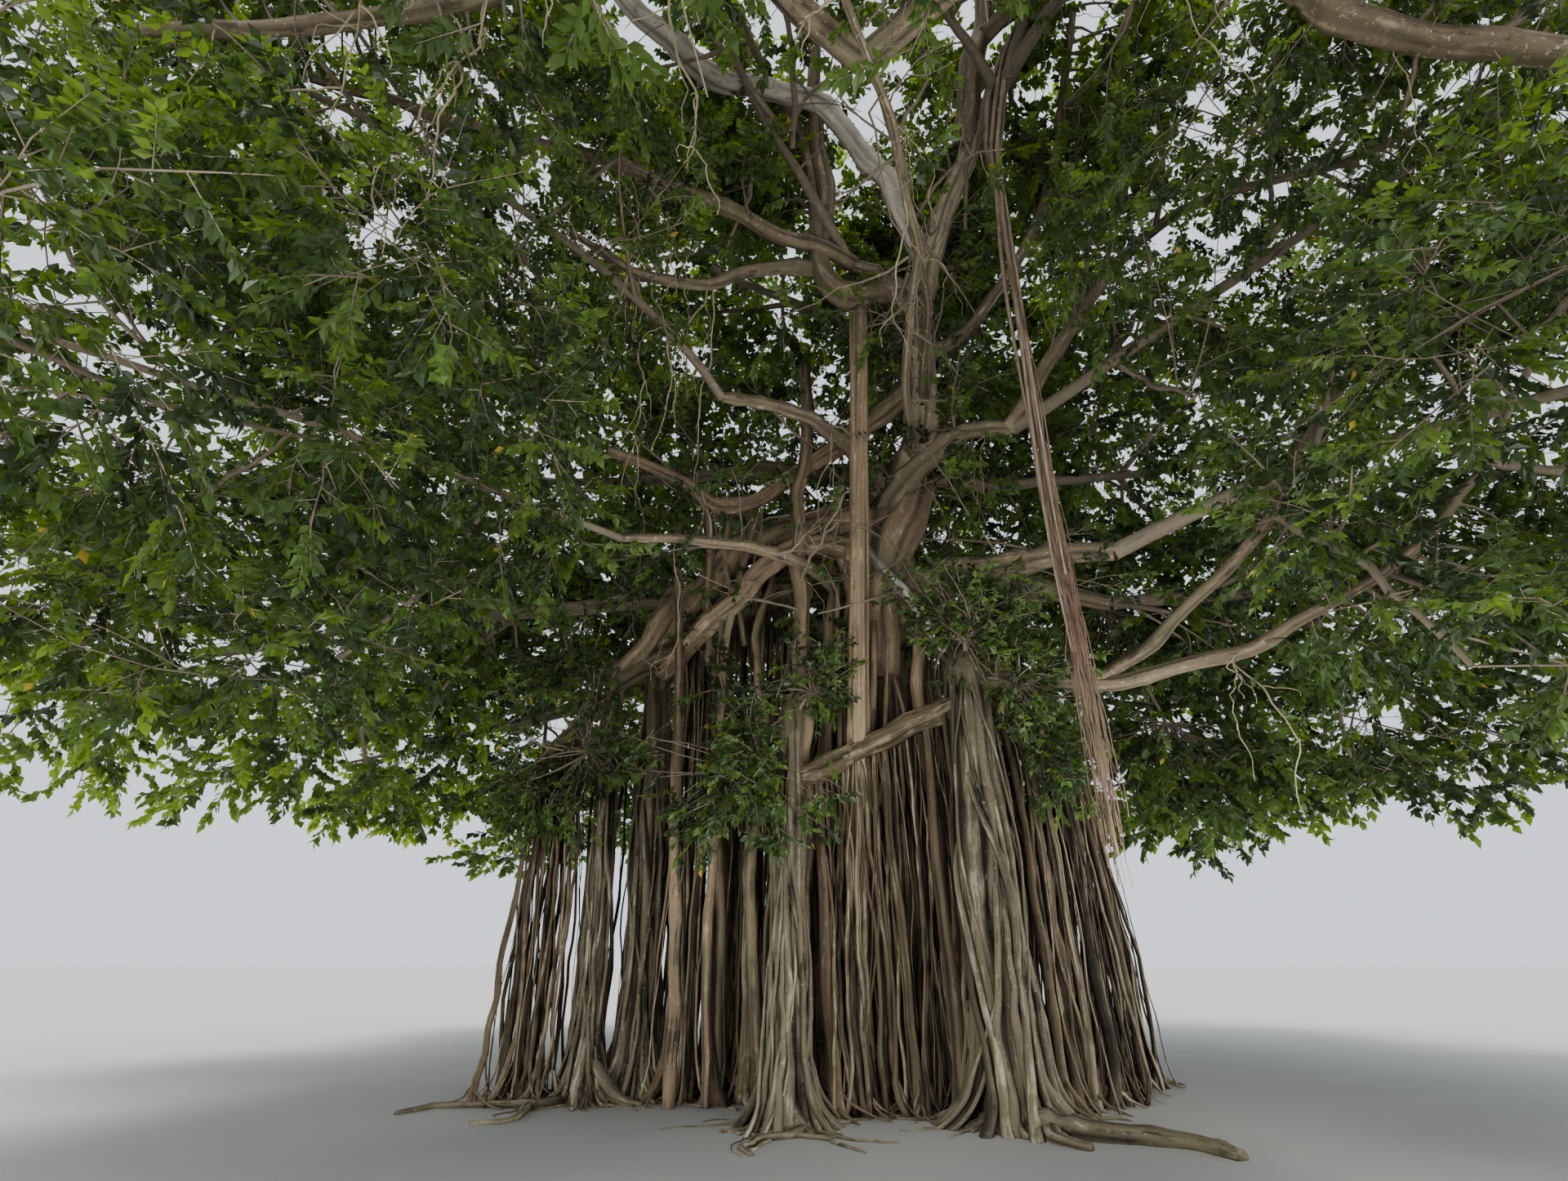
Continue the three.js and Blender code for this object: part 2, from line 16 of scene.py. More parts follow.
import bmesh
import bpy
import numpy as np
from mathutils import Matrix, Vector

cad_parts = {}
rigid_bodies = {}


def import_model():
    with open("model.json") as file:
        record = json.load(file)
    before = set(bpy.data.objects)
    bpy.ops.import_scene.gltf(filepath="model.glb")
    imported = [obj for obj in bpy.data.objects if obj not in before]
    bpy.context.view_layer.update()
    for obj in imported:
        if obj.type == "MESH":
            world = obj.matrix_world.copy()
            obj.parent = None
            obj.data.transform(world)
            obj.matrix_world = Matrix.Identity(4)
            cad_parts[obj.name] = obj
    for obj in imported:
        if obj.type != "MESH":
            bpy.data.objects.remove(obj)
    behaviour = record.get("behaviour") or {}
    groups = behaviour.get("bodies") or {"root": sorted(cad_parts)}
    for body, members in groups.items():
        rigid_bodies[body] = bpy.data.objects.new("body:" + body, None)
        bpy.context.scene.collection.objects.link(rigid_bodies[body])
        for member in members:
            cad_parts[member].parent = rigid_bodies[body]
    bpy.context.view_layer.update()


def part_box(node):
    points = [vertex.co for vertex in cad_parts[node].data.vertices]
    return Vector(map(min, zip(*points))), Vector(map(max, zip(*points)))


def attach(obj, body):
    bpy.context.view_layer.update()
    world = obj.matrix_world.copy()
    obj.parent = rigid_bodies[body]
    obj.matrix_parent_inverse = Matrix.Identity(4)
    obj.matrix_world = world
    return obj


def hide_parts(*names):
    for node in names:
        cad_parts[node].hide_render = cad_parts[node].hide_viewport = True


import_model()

Array = np.ndarray
Random = np.random.Generator
Girth = Callable[[Array], Array]
Value = Union["Socket", float, Sequence[float]]
Pair = tuple[float, float]
Point = tuple[float, float, float]
Colour = tuple[float, float, float]

UP = np.array([0.0, 0.0, 1.0])
# Where the viewer stands, and the tilt of their view above the level in degrees
EYE = (-1.15, -13.9, 1.7)
VIEW_TILT = 25.5
# The most triangles that a piece of leaves may have
PIECE_LIMIT = 180000
# Steps that spread angles, or shares from 0 to 1, evenly however many there are
GOLDEN_ANGLE = math.pi * (3 - math.sqrt(5))
GOLDEN_SHARE = 0.618
PLASTIC_SHARE = 0.7549

log = logging.getLogger("banyan")


# Points and curves


def unit(vectors: Array) -> Array:
    """Scales vectors to length one.

    Args:
        vectors: One vector, or an array with vectors in its last axis.

    Returns:
        The same directions, each of length one.
    """
    length = np.linalg.norm(vectors, axis=-1, keepdims=True)
    return vectors / np.maximum(length, 1e-9)


def at_bearing(bearing: float, reach: float, z: float = 0.0) -> Array:
    """The point at a bearing in degrees and a reach from the Z axis."""
    turn = math.radians(bearing)
    return np.array([reach * math.cos(turn), reach * math.sin(turn), z])


def distances(path: Array) -> Array:
    """How far along a path each of its points is."""
    steps = np.linalg.norm(np.diff(path, axis=0), axis=1)
    return np.concatenate([[0.0], np.cumsum(steps)])


def stretched(values: Array, count: int) -> Array:
    """The same run of values, with another count of them."""
    return np.interp(np.linspace(0, 1, count), np.linspace(0, 1, len(values)), values)


def rising(height: float, count: int, power: float = 1.35) -> Array:
    """Heights from the ground up to a height, closer together at the foot by a power."""
    return height * np.linspace(0, 1, count) ** power


def even_shares(count: int) -> Array:
    """Shares from 0 to 1, each far from the ones before it."""
    return (np.arange(count) * PLASTIC_SHARE) % 1.0


def spiral(count: int, first: float = 0.0) -> Array:
    """Directions spread evenly over a sphere, from its top down.

    Args:
        count: How many there are.
        first: Bearing of the first, in radians.

    Returns:
        The directions, one in each row.
    """
    index = np.arange(count)
    level = 1 - (2 * index + 1) / count
    ring = np.sqrt(1 - level * level)
    angle = first + index * GOLDEN_ANGLE
    return np.stack([ring * np.cos(angle), ring * np.sin(angle), level], axis=1)


def evenly(points: Array, count: int) -> Array:
    """Resamples a path by its length.

    Args:
        points: The path's points in order.
        count: How many points to return.

    Returns:
        Points the same distance apart along the path.
    """
    along = distances(points)
    wanted = np.linspace(0.0, along[-1], count)
    return np.stack([np.interp(wanted, along, points[:, axis]) for axis in range(3)], axis=1)


def bowed(start: Array, end: Array, bow: Array, count: int) -> Array:
    """A quadratic curve whose middle control point stands off the chord by a bow.

    Args:
        start: First point.
        end: Last point.
        bow: Offset of the control point from the chord's middle.
        count: How many points to return.

    Returns:
        Points the same distance apart along the curve.
    """
    middle = (start + end) / 2 + bow
    t = np.linspace(0.0, 1.0, 65)[:, None]
    return evenly((1 - t) ** 2 * start + 2 * t * (1 - t) * middle + t**2 * end, count)


def threaded(points: Sequence[Sequence[float]], count: int) -> Array:
    """A smooth curve through points.

    Args:
        points: The points in order.
        count: How many points to return.

    Returns:
        Points the same distance apart along the curve.
    """
    knots = np.array(points, dtype=float)
    knots = np.concatenate([[2 * knots[0] - knots[1]], knots, [2 * knots[-1] - knots[-2]]])
    t = np.linspace(0.0, 1.0, 12)[:, None]
    parts = []
    for a, b, c, d in zip(knots, knots[1:], knots[2:], knots[3:]):
        bend = (2 * a - 5 * b + 4 * c - d) * t**2 + (3 * b - a - 3 * c + d) * t**3
        parts.append(0.5 * (2 * b + (c - a) * t + bend))
    return evenly(np.concatenate(parts), count)


def along_path(path: Array, share: float) -> Array:
    """A point on an evenly spaced path.

    Args:
        path: The path's points.
        share: How far along it the point is, from 0 to 1.

    Returns:
        The point.
    """
    place = share * (len(path) - 1)
    first = min(int(place), len(path) - 2)
    return path[first] + (path[first + 1] - path[first]) * (place - first)


def meander(path: Array, sway: float, rng: Random, tied: float = 1.0) -> Array:
    """Lets a path wander sideways in slow waves.

    Args:
        path: The path's points.
        sway: The largest offset in metres.
        rng: Source of the waves' phases.
        tied: 1 holds both ends, and 0 lets them wander as well.

    Returns:
        The wandering path.
    """
    t = np.linspace(0.0, 1.0, len(path))
    hold = 1 - tied + tied * np.sin(np.pi * t) ** 0.6
    moved = path.copy()
    for axis in (0, 1):
        waves = sum(np.sin(2 * np.pi * (turns * t + rng.random())) / turns for turns in (1, 2.3, 5))
        moved[:, axis] += waves * hold * sway / 1.8
    return moved


def kinked(path: Array, size: float, every: float, rng: Random) -> Array:
    """Bends a path at every stretch, as wood bends where it lost a twig.

    Args:
        path: The path's points.
        size: How far a bend stands off.
        every: Distance between bends, in metres.
        rng: Source of the bends.

    Returns:
        The path, its ends where they were.
    """
    bends = max(3, int(distances(path)[-1] / every) + 1)
    shifts = rng.normal(0, size, (bends, 3))
    shifts[[0, -1]] = 0.0
    place = np.linspace(0, bends - 1, len(path))
    return path + np.stack([np.interp(place, np.arange(bends), part) for part in shifts.T], axis=1)


def wound(path: Array, turn: Array, reach: Array, flat: float = 1.0) -> Array:
    """A path that winds round another, level with it.

    Args:
        path: The path in the middle.
        turn: The angle round it at each point, in radians.
        reach: How far off it each point stands.
        flat: Factor on its reach along Y.

    Returns:
        The winding path.
    """
    made = path.copy()
    made[:, 0] += np.cos(turn) * reach
    made[:, 1] += np.sin(turn) * reach * flat
    return made


def drawn_in(girth: Array, shares: Sequence[float]) -> Array:
    """A root's radius with the last points drawn in, each to its share."""
    return np.concatenate([girth[:-len(shares)], girth[-len(shares):] * np.array(shares)])


def frames_along(path: Array) -> tuple[Array, Array]:
    """Two unit vectors across a path at each of its points, turning as little as they can.

    Args:
        path: The path's points.

    Returns:
        The first and second vector of each point; the second is tangent x first.
    """
    tangents = unit(np.gradient(path, axis=0))
    across = np.zeros_like(path)
    least = np.eye(3)[np.argmin(np.abs(tangents[0]))]
    across[0] = unit(np.cross(tangents[0], least))
    for i in range(1, len(path)):
        across[i] = unit(across[i - 1] - tangents[i] * (across[i - 1] @ tangents[i]))
    return across, np.cross(tangents, across)


# Bark in relief


@dataclass(frozen=True)
class Relief:
    """Rounded ribs with sharp valleys that run along a limb and drift round it.

    Attributes:
        ribs: How many ribs there are round the limb, for each layer of them.
        depth: How deep each layer's valleys are, as a share of the girth.
        drift: How fast the ribs wander round the limb, in radians a metre.
        seed: Seed of the ribs' phases.
    """

    ribs: tuple[int, ...] = (6, 11, 19)
    depth: tuple[float, ...] = (0.16, 0.09, 0.05)
    drift: float = 0.5
    seed: int = 1

    @classmethod
    def fine(cls, seed: int) -> "Relief":
        """The few shallow ribs of a strand."""
        return cls((3, 5), (0.2, 0.1), 0.6, seed)

    def at(self, angle: Array, along: Array) -> tuple[Array, Array]:
        """The shape of the ribs.

        Args:
            angle: Angle round the limb, in radians.
            along: Distance along the limb, in metres.

        Returns:
            A factor on the girth near one, and how deep in a valley each place is, from 0 to 1,
            which sets the painted shade there.
        """
        rng = np.random.default_rng(self.seed)
        factor = np.ones_like(angle)
        hollow = np.zeros_like(angle)
        for ribs, depth in zip(self.ribs, self.depth):
            phase, wave, slow = rng.random(3) * 2 * np.pi
            wander = self.drift * ribs * 0.35 * np.sin(along * (0.5 + 0.3 * rng.random()) + slow)
            swell = 0.7 + 0.3 * np.sin(2 * angle + along * 0.8 + wave)
            rib = np.abs(np.sin((ribs * angle + wander + phase) / 2))
            factor += depth * swell * (rib - 0.64)
            hollow += depth / max(self.depth) * np.maximum(0.0, 1 - rib * 2.2)
        return factor, np.clip(hollow, 0.0, 1.0)


class Wood:
    """One wooden piece under way: tubes of bark with grain, painted valley shade and tone as
    attributes.

    CREASE is the painted shade on a side that stands square to what its tube lies against, and how
    much darker the painted shade is on one that faces it.
    """

    TONE_SPREAD = 1.3
    GRAIN_SHIFT = 7.3
    CREASE = (0.6, 1.2)
    MERGE = 1e-6

    def __init__(self) -> None:
        """Starts an empty piece."""
        self.mesh = bmesh.new()
        self.grain = self.mesh.verts.layers.float_vector.new("grain")
        self.hollow = self.mesh.verts.layers.float.new("hollow")
        self.tone = self.mesh.verts.layers.float.new("tone")
        self.seams: list[bmesh.types.BMVert] = []
        self.tubes = 0

    def tube(
        self,
        path: Array,
        girth: Union[Array, Sequence[float]],
        sides: int,
        relief: Optional[Relief] = None,
        level: bool = False,
        tone: Optional[float] = None,
        heart: Optional[Array] = None,
    ) -> None:
        """Rolls a grid into a tube along a path.

        Args:
            path: The axis, from one end to the other.
            girth: Radius at each point, or at the two ends.
            sides: How many faces there are round the tube.
            relief: The bark's ribs, or None for a round tube.
            level: True keeps every ring level, as on an upright root with a flat foot.
            tone: How dark or pale it is, from -1 to 1, or None to take turns. Low values also stand
                as painted shade on roots that stand behind others.
            heart: What it lies against, as a point for each of its own. The sides that face it or
                its neighbours get painted shade.
        """
        steps = len(path) - 1
        self.tubes += 1
        if tone is None:
            tone = self.TONE_SPREAD * ((self.tubes * GOLDEN_SHARE) % 1.0) - self.TONE_SPREAD / 2
        radii = np.asarray(girth, dtype=float)
        if len(radii) != len(path):
            radii = stretched(radii, len(path))
        grid = bmesh.ops.create_grid(self.mesh, x_segments=sides, y_segments=steps, size=0.5)
        made = grid["verts"]
        flat = np.array([vert.co[:] for vert in made])
        ring = np.rint((flat[:, 1] + 0.5) * steps).astype(int)
        around = np.rint((flat[:, 0] + 0.5) * sides)
        angle = around * (2 * np.pi / sides)
        along = distances(path)[ring]
        if level:
            across = np.tile([1.0, 0.0, 0.0], (len(path), 1))
            beside = np.tile([0.0, 1.0, 0.0], (len(path), 1))
        else:
            across, beside = frames_along(path)
        radius = radii[ring]
        # Painted shade in the bark's valleys, from the depth of the ribs.
        hollow = np.zeros_like(radius)
        if relief is not None:
            factor, hollow = relief.at(angle, along)
            radius = radius * factor
        cos, sin = np.cos(angle), np.sin(angle)
        outward = cos[:, None] * across[ring] + sin[:, None] * beside[ring]
        places = path[ring] + radius[:, None] * outward
        places[:, 2] = np.maximum(places[:, 2], 0.0)
        # Painted shade on the sides that face what the tube lies against, as between strands.
        if heart is not None:
            away = (path - heart) * (1 - UP)
            facing = np.sum(outward * unit(away)[ring], axis=1)
            square, slope = self.CREASE
            hollow = np.maximum(hollow, np.clip(square - slope * facing, 0.0, 1.0))
        base = radii[ring]
        fibres = along + self.GRAIN_SHIFT * path[0, 0]
        grain = np.stack([base * cos, base * sin, fibres], axis=1)
        for vert, place, fibre, deep in zip(made, places.tolist(), grain.tolist(), hollow.tolist()):
            vert.co = place
            vert[self.grain] = fibre
            vert[self.hollow] = deep
            vert[self.tone] = tone
        self.seams += [vert for vert, side in zip(made, around) if side in (0, sides)]

    def piece(self, name: str, finish: "Finish", nodes: Sequence[str]) -> None:
        """Closes the tubes and makes them an object that stands for solids.

        Args:
            name: The piece's name.
            finish: Its finish.
            nodes: The solids that it stands for.
        """
        bmesh.ops.remove_doubles(self.mesh, verts=self.seams, dist=self.MERGE)
        rims = [edge for edge in self.mesh.edges if edge.is_boundary]
        bmesh.ops.holes_fill(self.mesh, edges=rims, sides=0)
        for face in self.mesh.faces:
            face.smooth = True
        mesh = bpy.data.meshes.new(name)
        self.mesh.to_mesh(mesh)
        self.mesh.free()
        place_piece(name, mesh, finish, nodes)


def place_piece(name: str, mesh: bpy.types.Mesh, finish: "Finish", nodes: Sequence[str]) -> None:
    """Puts a mesh in the scene as a piece of the tree.

    Args:
        name: The piece's name.
        mesh: Its mesh, in place.
        finish: Its finish.
        nodes: The solids that it stands for.
    """
    made = bpy.data.objects.new(name, mesh)
    bpy.context.scene.collection.objects.link(made)
    mesh.materials.append(finish.material())
    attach(made, "root")
    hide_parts(*nodes)
    log.info("%s: %d faces", name, len(mesh.polygons))


# Finishes


class Socket:
    """A value in a shader: a node's output with the arithmetic written as Python."""

    def __init__(self, shader: "Shader", output: bpy.types.NodeSocket) -> None:
        """Wraps an output of one of the shader's nodes."""
        self.shader = shader
        self.output = output

    def _math(self, operation: str, first: Value, second: Value) -> "Socket":
        """Adds one Math node."""
        made = self.shader.node("ShaderNodeMath", {"operation": operation}, {0: first, 1: second})
        return Socket(self.shader, made.outputs[0])

    def __add__(self, other: Value) -> "Socket":
        """Sum."""
        return self._math("ADD", self, other)

    def __sub__(self, other: Value) -> "Socket":
        """Difference."""
        return self._math("SUBTRACT", self, other)

    def __rsub__(self, other: Value) -> "Socket":
        """Difference from a number."""
        return self._math("SUBTRACT", other, self)

    def __mul__(self, other: Value) -> "Socket":
        """Product."""
        return self._math("MULTIPLY", self, other)

    __radd__ = __add__
    __rmul__ = __mul__

    def between(self, low: float, high: float) -> "Socket":
        """Runs from 0 at low to 1 at high, smoothly.

        Args:
            low: Value that gives 0.
            high: Value that gives 1.

        Returns:
            The mask.
        """
        made = self.shader.node(
            "ShaderNodeMapRange",
            {"interpolation_type": "SMOOTHSTEP"},
            {"Value": self, "From Min": low, "From Max": high},
        )
        return Socket(self.shader, made.outputs["Result"])


class Shader:
    """A material's node tree under way."""

    def __init__(self, name: str) -> None:
        """Starts a material with nothing but its output.

        Args:
            name: The material's name.
        """
        self.material = bpy.data.materials.new(name)
        self.material.use_nodes = True
        self.tree = self.material.node_tree
        self.tree.nodes.clear()
        self.result = self.tree.nodes.new("ShaderNodeOutputMaterial")

    def node(
        self, kind: str, settings: Mapping[str, object], sockets: Mapping[Union[str, int], Value]
    ) -> bpy.types.Node:
        """Adds a node.

        Args:
            kind: The node's type.
            settings: Its properties, set first; stops gives a ramp's places and colours.
            sockets: A value or a link for each input.

        Returns:
            The node.
        """
        made = self.tree.nodes.new(kind)
        for key, value in settings.items():
            if key == "stops":
                ramp = made.color_ramp
                while len(ramp.elements) < len(value):
                    ramp.elements.new(0.5)
                for element, (place, colour) in zip(ramp.elements, value):
                    element.position = place
                    element.color = (*colour, 1.0)
            else:
                setattr(made, key, value)
        for key, value in sockets.items():
            if isinstance(value, Socket):
                self.tree.links.new(value.output, made.inputs[key])
            else:
                made.inputs[key].default_value = value
        return made

    def coordinates(self, scale: Sequence[float] = (1.0, 1.0, 1.0), attribute: str = "") -> Socket:
        """The place on the piece, stretched.

        Args:
            scale: Factor on each axis.
            attribute: The attribute to read, or nothing for Object coordinates.

        Returns:
            The stretched vector.
        """
        if attribute:
            source = self.node("ShaderNodeAttribute", {"attribute_name": attribute}, {})
            vector = Socket(self, source.outputs["Vector"])
        else:
            source = self.node("ShaderNodeTexCoord", {}, {})
            vector = Socket(self, source.outputs["Object"])
        made = self.node("ShaderNodeMapping", {}, {"Vector": vector, "Scale": scale})
        return Socket(self, made.outputs["Vector"])

    def number(self, attribute: str) -> Socket:
        """A number that the mesh holds at each point."""
        made = self.node("ShaderNodeAttribute", {"attribute_name": attribute}, {})
        return Socket(self, made.outputs["Fac"])

    def noise(self, vector: Socket, scale: float, detail: float, rough: float) -> Socket:
        """Cloudy noise.

        Args:
            vector: Where it is read.
            scale: Its scale.
            detail: How many finer layers it has.
            rough: How strong they are.

        Returns:
            Values about 0.5.
        """
        made = self.node(
            "ShaderNodeTexNoise",
            {},
            {"Vector": vector, "Scale": scale, "Detail": detail, "Roughness": rough},
        )
        return Socket(self, made.outputs["Fac"])

    def ramp(self, factor: Socket, stops: Sequence[tuple[float, Colour]]) -> Socket:
        """Colours along a factor."""
        made = self.node("ShaderNodeValToRGB", {"stops": stops}, {"Fac": factor})
        return Socket(self, made.outputs["Color"])

    def mix(self, factor: Value, first: Value, second: Value) -> Socket:
        """Mixes two colours.

        Args:
            factor: 0 gives the first and 1 the second.
            first: A colour of three numbers or a link.
            second: Another.

        Returns:
            The mixed colour.
        """
        colours = [c if isinstance(c, Socket) else (*c, 1.0) for c in (first, second)]
        made = self.node(
            "ShaderNodeMix", {"data_type": "RGBA"}, {0: factor, 6: colours[0], 7: colours[1]}
        )
        return Socket(self, made.outputs[2])

    def bump(self, height: Socket, distance: float, strength: float) -> Socket:
        """Turns heights into a normal."""
        made = self.node(
            "ShaderNodeBump", {}, {"Height": height, "Distance": distance, "Strength": strength}
        )
        return Socket(self, made.outputs["Normal"])

    def surface(self, node: bpy.types.Node) -> bpy.types.Material:
        """Ends the tree with a shader node."""
        self.tree.links.new(node.outputs[0], self.result.inputs["Surface"])
        return self.material


class Slot(Enum):
    """The record's material slots."""

    BARK = "bark"
    ROOT = "root_bark"
    LEAF = "leaf"



@dataclass(frozen=True)
class Finish:
    """A named finish of one slot, made once."""

    name: str
    kind: Slot

    @property
    def slot(self) -> str:
        """The slot's name in the record."""
        return self.kind.value

    def material(self) -> bpy.types.Material:
        """The material, made the first time that it is asked for."""
        return bpy.data.materials.get(self.name) or self.build(Shader(self.name))

    def build(self, shader: Shader) -> bpy.types.Material:
        """Makes the node tree."""
        raise NotImplementedError


@dataclass(frozen=True)
class BarkFinish(Finish):
    """Stringy bark: painted shade in its valleys, a body colour, pale ridges, and specks and stains
    on it.

    Attributes:
        dark: Colour of the darkest bark, and of the painted shade in the valleys.
        body: Colour of most of it.
        pale: Colour of worn ridges.
        speck: Colour of the lichen specks.
        stain: Colour of the broad stains.
        specks: How strongly the specks show.
        stains: How strongly the stains show.
        fibre: How fine the grain is across the limb.
        fibre_along: How fine it is along the limb.
        variety: How much the tone differs from limb to limb; the tone also carries the painted
            shade on roots that stand behind others.
        stops: Where the dark ends, the body's colour begins and ends, and the pale begins.
        crease: How strong the painted shade is in the deepest valleys and crevices.
        relief: Depth in metres, and strength, of the bump.
        rough: Roughness of the darkest bark, and how much smoother the palest is.
        sheen: How much it reflects straight on.
    """

    dark: Colour = (0.045, 0.032, 0.022)
    body: Colour = (0.205, 0.155, 0.105)
    pale: Colour = (0.37, 0.31, 0.235)
    speck: Colour = (0.46, 0.46, 0.38)
    stain: Colour = (0.12, 0.125, 0.065)
    specks: float = 0.35
    stains: float = 0.4
    fibre: float = 26.0
    fibre_along: float = 2.2
    variety: float = 0.07
    stops: tuple[float, ...] = (0.36, 0.46, 0.55, 0.66)
    crease: float = 0.92
    relief: Pair = (0.035, 0.75)
    rough: Pair = (0.95, 0.25)
    sheen: float = 0.3

    def build(self, shader: Shader) -> bpy.types.Material:
        """Makes the node tree.

        Args:
            shader: The material under way.

        Returns:
            The material.
        """
        grain = shader.coordinates((self.fibre, self.fibre, self.fibre_along), "grain")
        place = shader.coordinates()
        strings = shader.noise(grain, 1.0, 5.0, 0.62)
        lumps = shader.noise(place, 3.2, 4.0, 0.6)
        strips = shader.noise(shader.coordinates((5.5, 5.5, 0.16)), 1.0, 2.0, 0.5)
        tone = strings * 0.5 + lumps * 0.3 + strips * 0.2 + shader.number("tone") * self.variety
        colours = (self.dark, self.body, self.body, self.pale)
        colour = shader.ramp(tone, list(zip(self.stops, colours)))
        clouds = shader.noise(place, 0.85, 3.0, 0.55)
        colour = shader.mix(clouds.between(0.45, 0.7) * self.stains, colour, self.stain)
        dots = shader.noise(place, 17.0, 3.0, 0.7)
        spotted = dots.between(0.6, 0.68) * clouds.between(0.62, 0.42) * self.specks
        colour = shader.mix(spotted, colour, self.speck)
        # Painted shade: the valleys, and the sides that face a neighbour, are mixed towards the
        # dark colour.
        colour = shader.mix(shader.number("hollow") * self.crease, colour, self.dark)
        height = strings * 0.7 + lumps * 0.5 + spotted * 0.08
        shaded = shader.node(
            "ShaderNodeBsdfPrincipled",
            {},
            {
                "Base Color": colour,
                "Roughness": self.rough[0] - tone * self.rough[1],
                "Normal": shader.bump(height, *self.relief),
                "Specular IOR Level": self.sheen,
            },
        )
        return shader.surface(shaded)


@dataclass(frozen=True)
class LeafFinish(Finish):
    """A leaf: a glossy upper face, and light that comes through in a warmer green.

    Attributes:
        face: Colour of the leaf.
        glow: Colour of the light that comes through.
        through: Share of the light that comes through.
        rough: Roughness of the upper face.
        sheen: How much it reflects straight on.
        blotch: How much lighter its blotches are, and how strongly they show.
    """

    face: Colour = (0.03, 0.08, 0.015)
    glow: Colour = (0.16, 0.32, 0.03)
    through: float = 0.35
    rough: float = 0.42
    sheen: float = 0.28
    blotch: Pair = (1.7, 0.55)

    def build(self, shader: Shader) -> bpy.types.Material:
        """Makes the node tree.

        Args:
            shader: The material under way.

        Returns:
            The material.
        """
        blotches = shader.noise(shader.coordinates(), 9.0, 2.0, 0.5)
        light = tuple(min(1.0, self.blotch[0] * part + 0.01) for part in self.face)
        colour = shader.mix(blotches.between(0.42, 0.72) * self.blotch[1], self.face, light)
        face = shader.node(
            "ShaderNodeBsdfPrincipled",
            {},
            {"Base Color": colour, "Roughness": self.rough, "Specular IOR Level": self.sheen},
        )
        glow = shader.node("ShaderNodeBsdfTranslucent", {}, {"Color": (*self.glow, 1.0)})
        first, second = (Socket(shader, node.outputs[0]) for node in (face, glow))
        both = shader.node("ShaderNodeMixShader", {}, {0: self.through, 1: first, 2: second})
        return shader.surface(both)


TRUNK_BARK = BarkFinish(
    "trunk_bark", Slot.BARK, dark=(0.02, 0.014, 0.009), body=(0.125, 0.088, 0.055),
    pale=(0.27, 0.21, 0.145)
)
PILLAR_BARK = BarkFinish(
    "pillar_bark", Slot.BARK, dark=(0.013, 0.009, 0.005), body=(0.175, 0.143, 0.088),
    pale=(0.48, 0.42, 0.3), stain=(0.15, 0.145, 0.07), stains=0.5, specks=0.55, variety=0.1
)
TANGLE_BARK = BarkFinish(
    "tangle_bark", Slot.BARK, dark=(0.018, 0.012, 0.007), body=(0.15, 0.104, 0.06),
    pale=(0.36, 0.275, 0.175), stains=0.4
)
LEADER_BARK = BarkFinish(
    "leader_bark", Slot.BARK, dark=(0.05, 0.038, 0.025), body=(0.27, 0.22, 0.145),
    pale=(0.5, 0.44, 0.32), stains=0.4, specks=0.6, fibre=9.0
)
LIMB_BARK = BarkFinish(
    "limb_bark", Slot.BARK, dark=(0.026, 0.019, 0.012), body=(0.125, 0.094, 0.057),
    pale=(0.29, 0.24, 0.16), fibre=14.0, specks=0.6
)
PALE_BARK = BarkFinish(
    "pale_bark", Slot.BARK, dark=(0.085, 0.072, 0.056), body=(0.36, 0.325, 0.27),
    pale=(0.56, 0.53, 0.46), stains=0.25, fibre=14.0
)
CURTAIN_BARK = BarkFinish(
    "curtain_bark", Slot.ROOT, dark=(0.007, 0.005, 0.0035), body=(0.145, 0.1, 0.056),
    pale=(0.5, 0.4, 0.255), stain=(0.18, 0.155, 0.09), specks=0.25, stains=0.45, fibre=34.0,
    variety=0.14
)
CORD_BARK = BarkFinish(
    "cord_bark", Slot.ROOT, dark=(0.045, 0.03, 0.02), body=(0.2, 0.145, 0.098),
    pale=(0.44, 0.355, 0.25), specks=0.1, stains=0.2, fibre=40.0, variety=0.12
)
ROOTLET_BARK = BarkFinish(
    "rootlet_bark", Slot.ROOT, dark=(0.04, 0.024, 0.016), body=(0.115, 0.07, 0.046),
    pale=(0.22, 0.145, 0.098), specks=0.0, stains=0.2, fibre=40.0
)
HANGING_BARK = BarkFinish(
    "hanging_bark", Slot.ROOT, dark=(0.08, 0.068, 0.04), body=(0.22, 0.19, 0.11),
    pale=(0.37, 0.33, 0.21), specks=0.0, stains=0.1, fibre=30.0
)
TWIG_BARK = BarkFinish(
    "twig_bark", Slot.BARK, dark=(0.035, 0.028, 0.02), body=(0.10, 0.078, 0.054),
    pale=(0.19, 0.16, 0.115), specks=0.2, fibre=12.0
)


class Green(Enum):
    """The tints that sprays are dealt out in, with their finishes."""

    DEEP = LeafFinish("leaf_deep", Slot.LEAF, (0.018, 0.034, 0.01), (0.055, 0.1, 0.01), 0.18)
    DARK = LeafFinish("leaf_dark", Slot.LEAF, (0.034, 0.061, 0.015), (0.115, 0.2, 0.016), 0.26)
    MIDDLE = LeafFinish("leaf_middle", Slot.LEAF, (0.06, 0.103, 0.02), (0.2, 0.33, 0.02), 0.34)
    FRESH = LeafFinish("leaf_fresh", Slot.LEAF, (0.12, 0.19, 0.028), (0.38, 0.55, 0.034), 0.42)
    YELLOW = LeafFinish("leaf_yellow", Slot.LEAF, (0.42, 0.29, 0.03), (0.6, 0.44, 0.05), 0.36)


# Trunk


@dataclass(frozen=True)
class TrunkStem:
    """A stem fused to the trunk.

    Attributes:
        bearing: Where its foot stands from the trunk's axis, in degrees.
        reach: How far its foot stands from the axis.
        joint: The height where it joins the trunk.
    """

    bearing: float
    reach: float
    joint: float


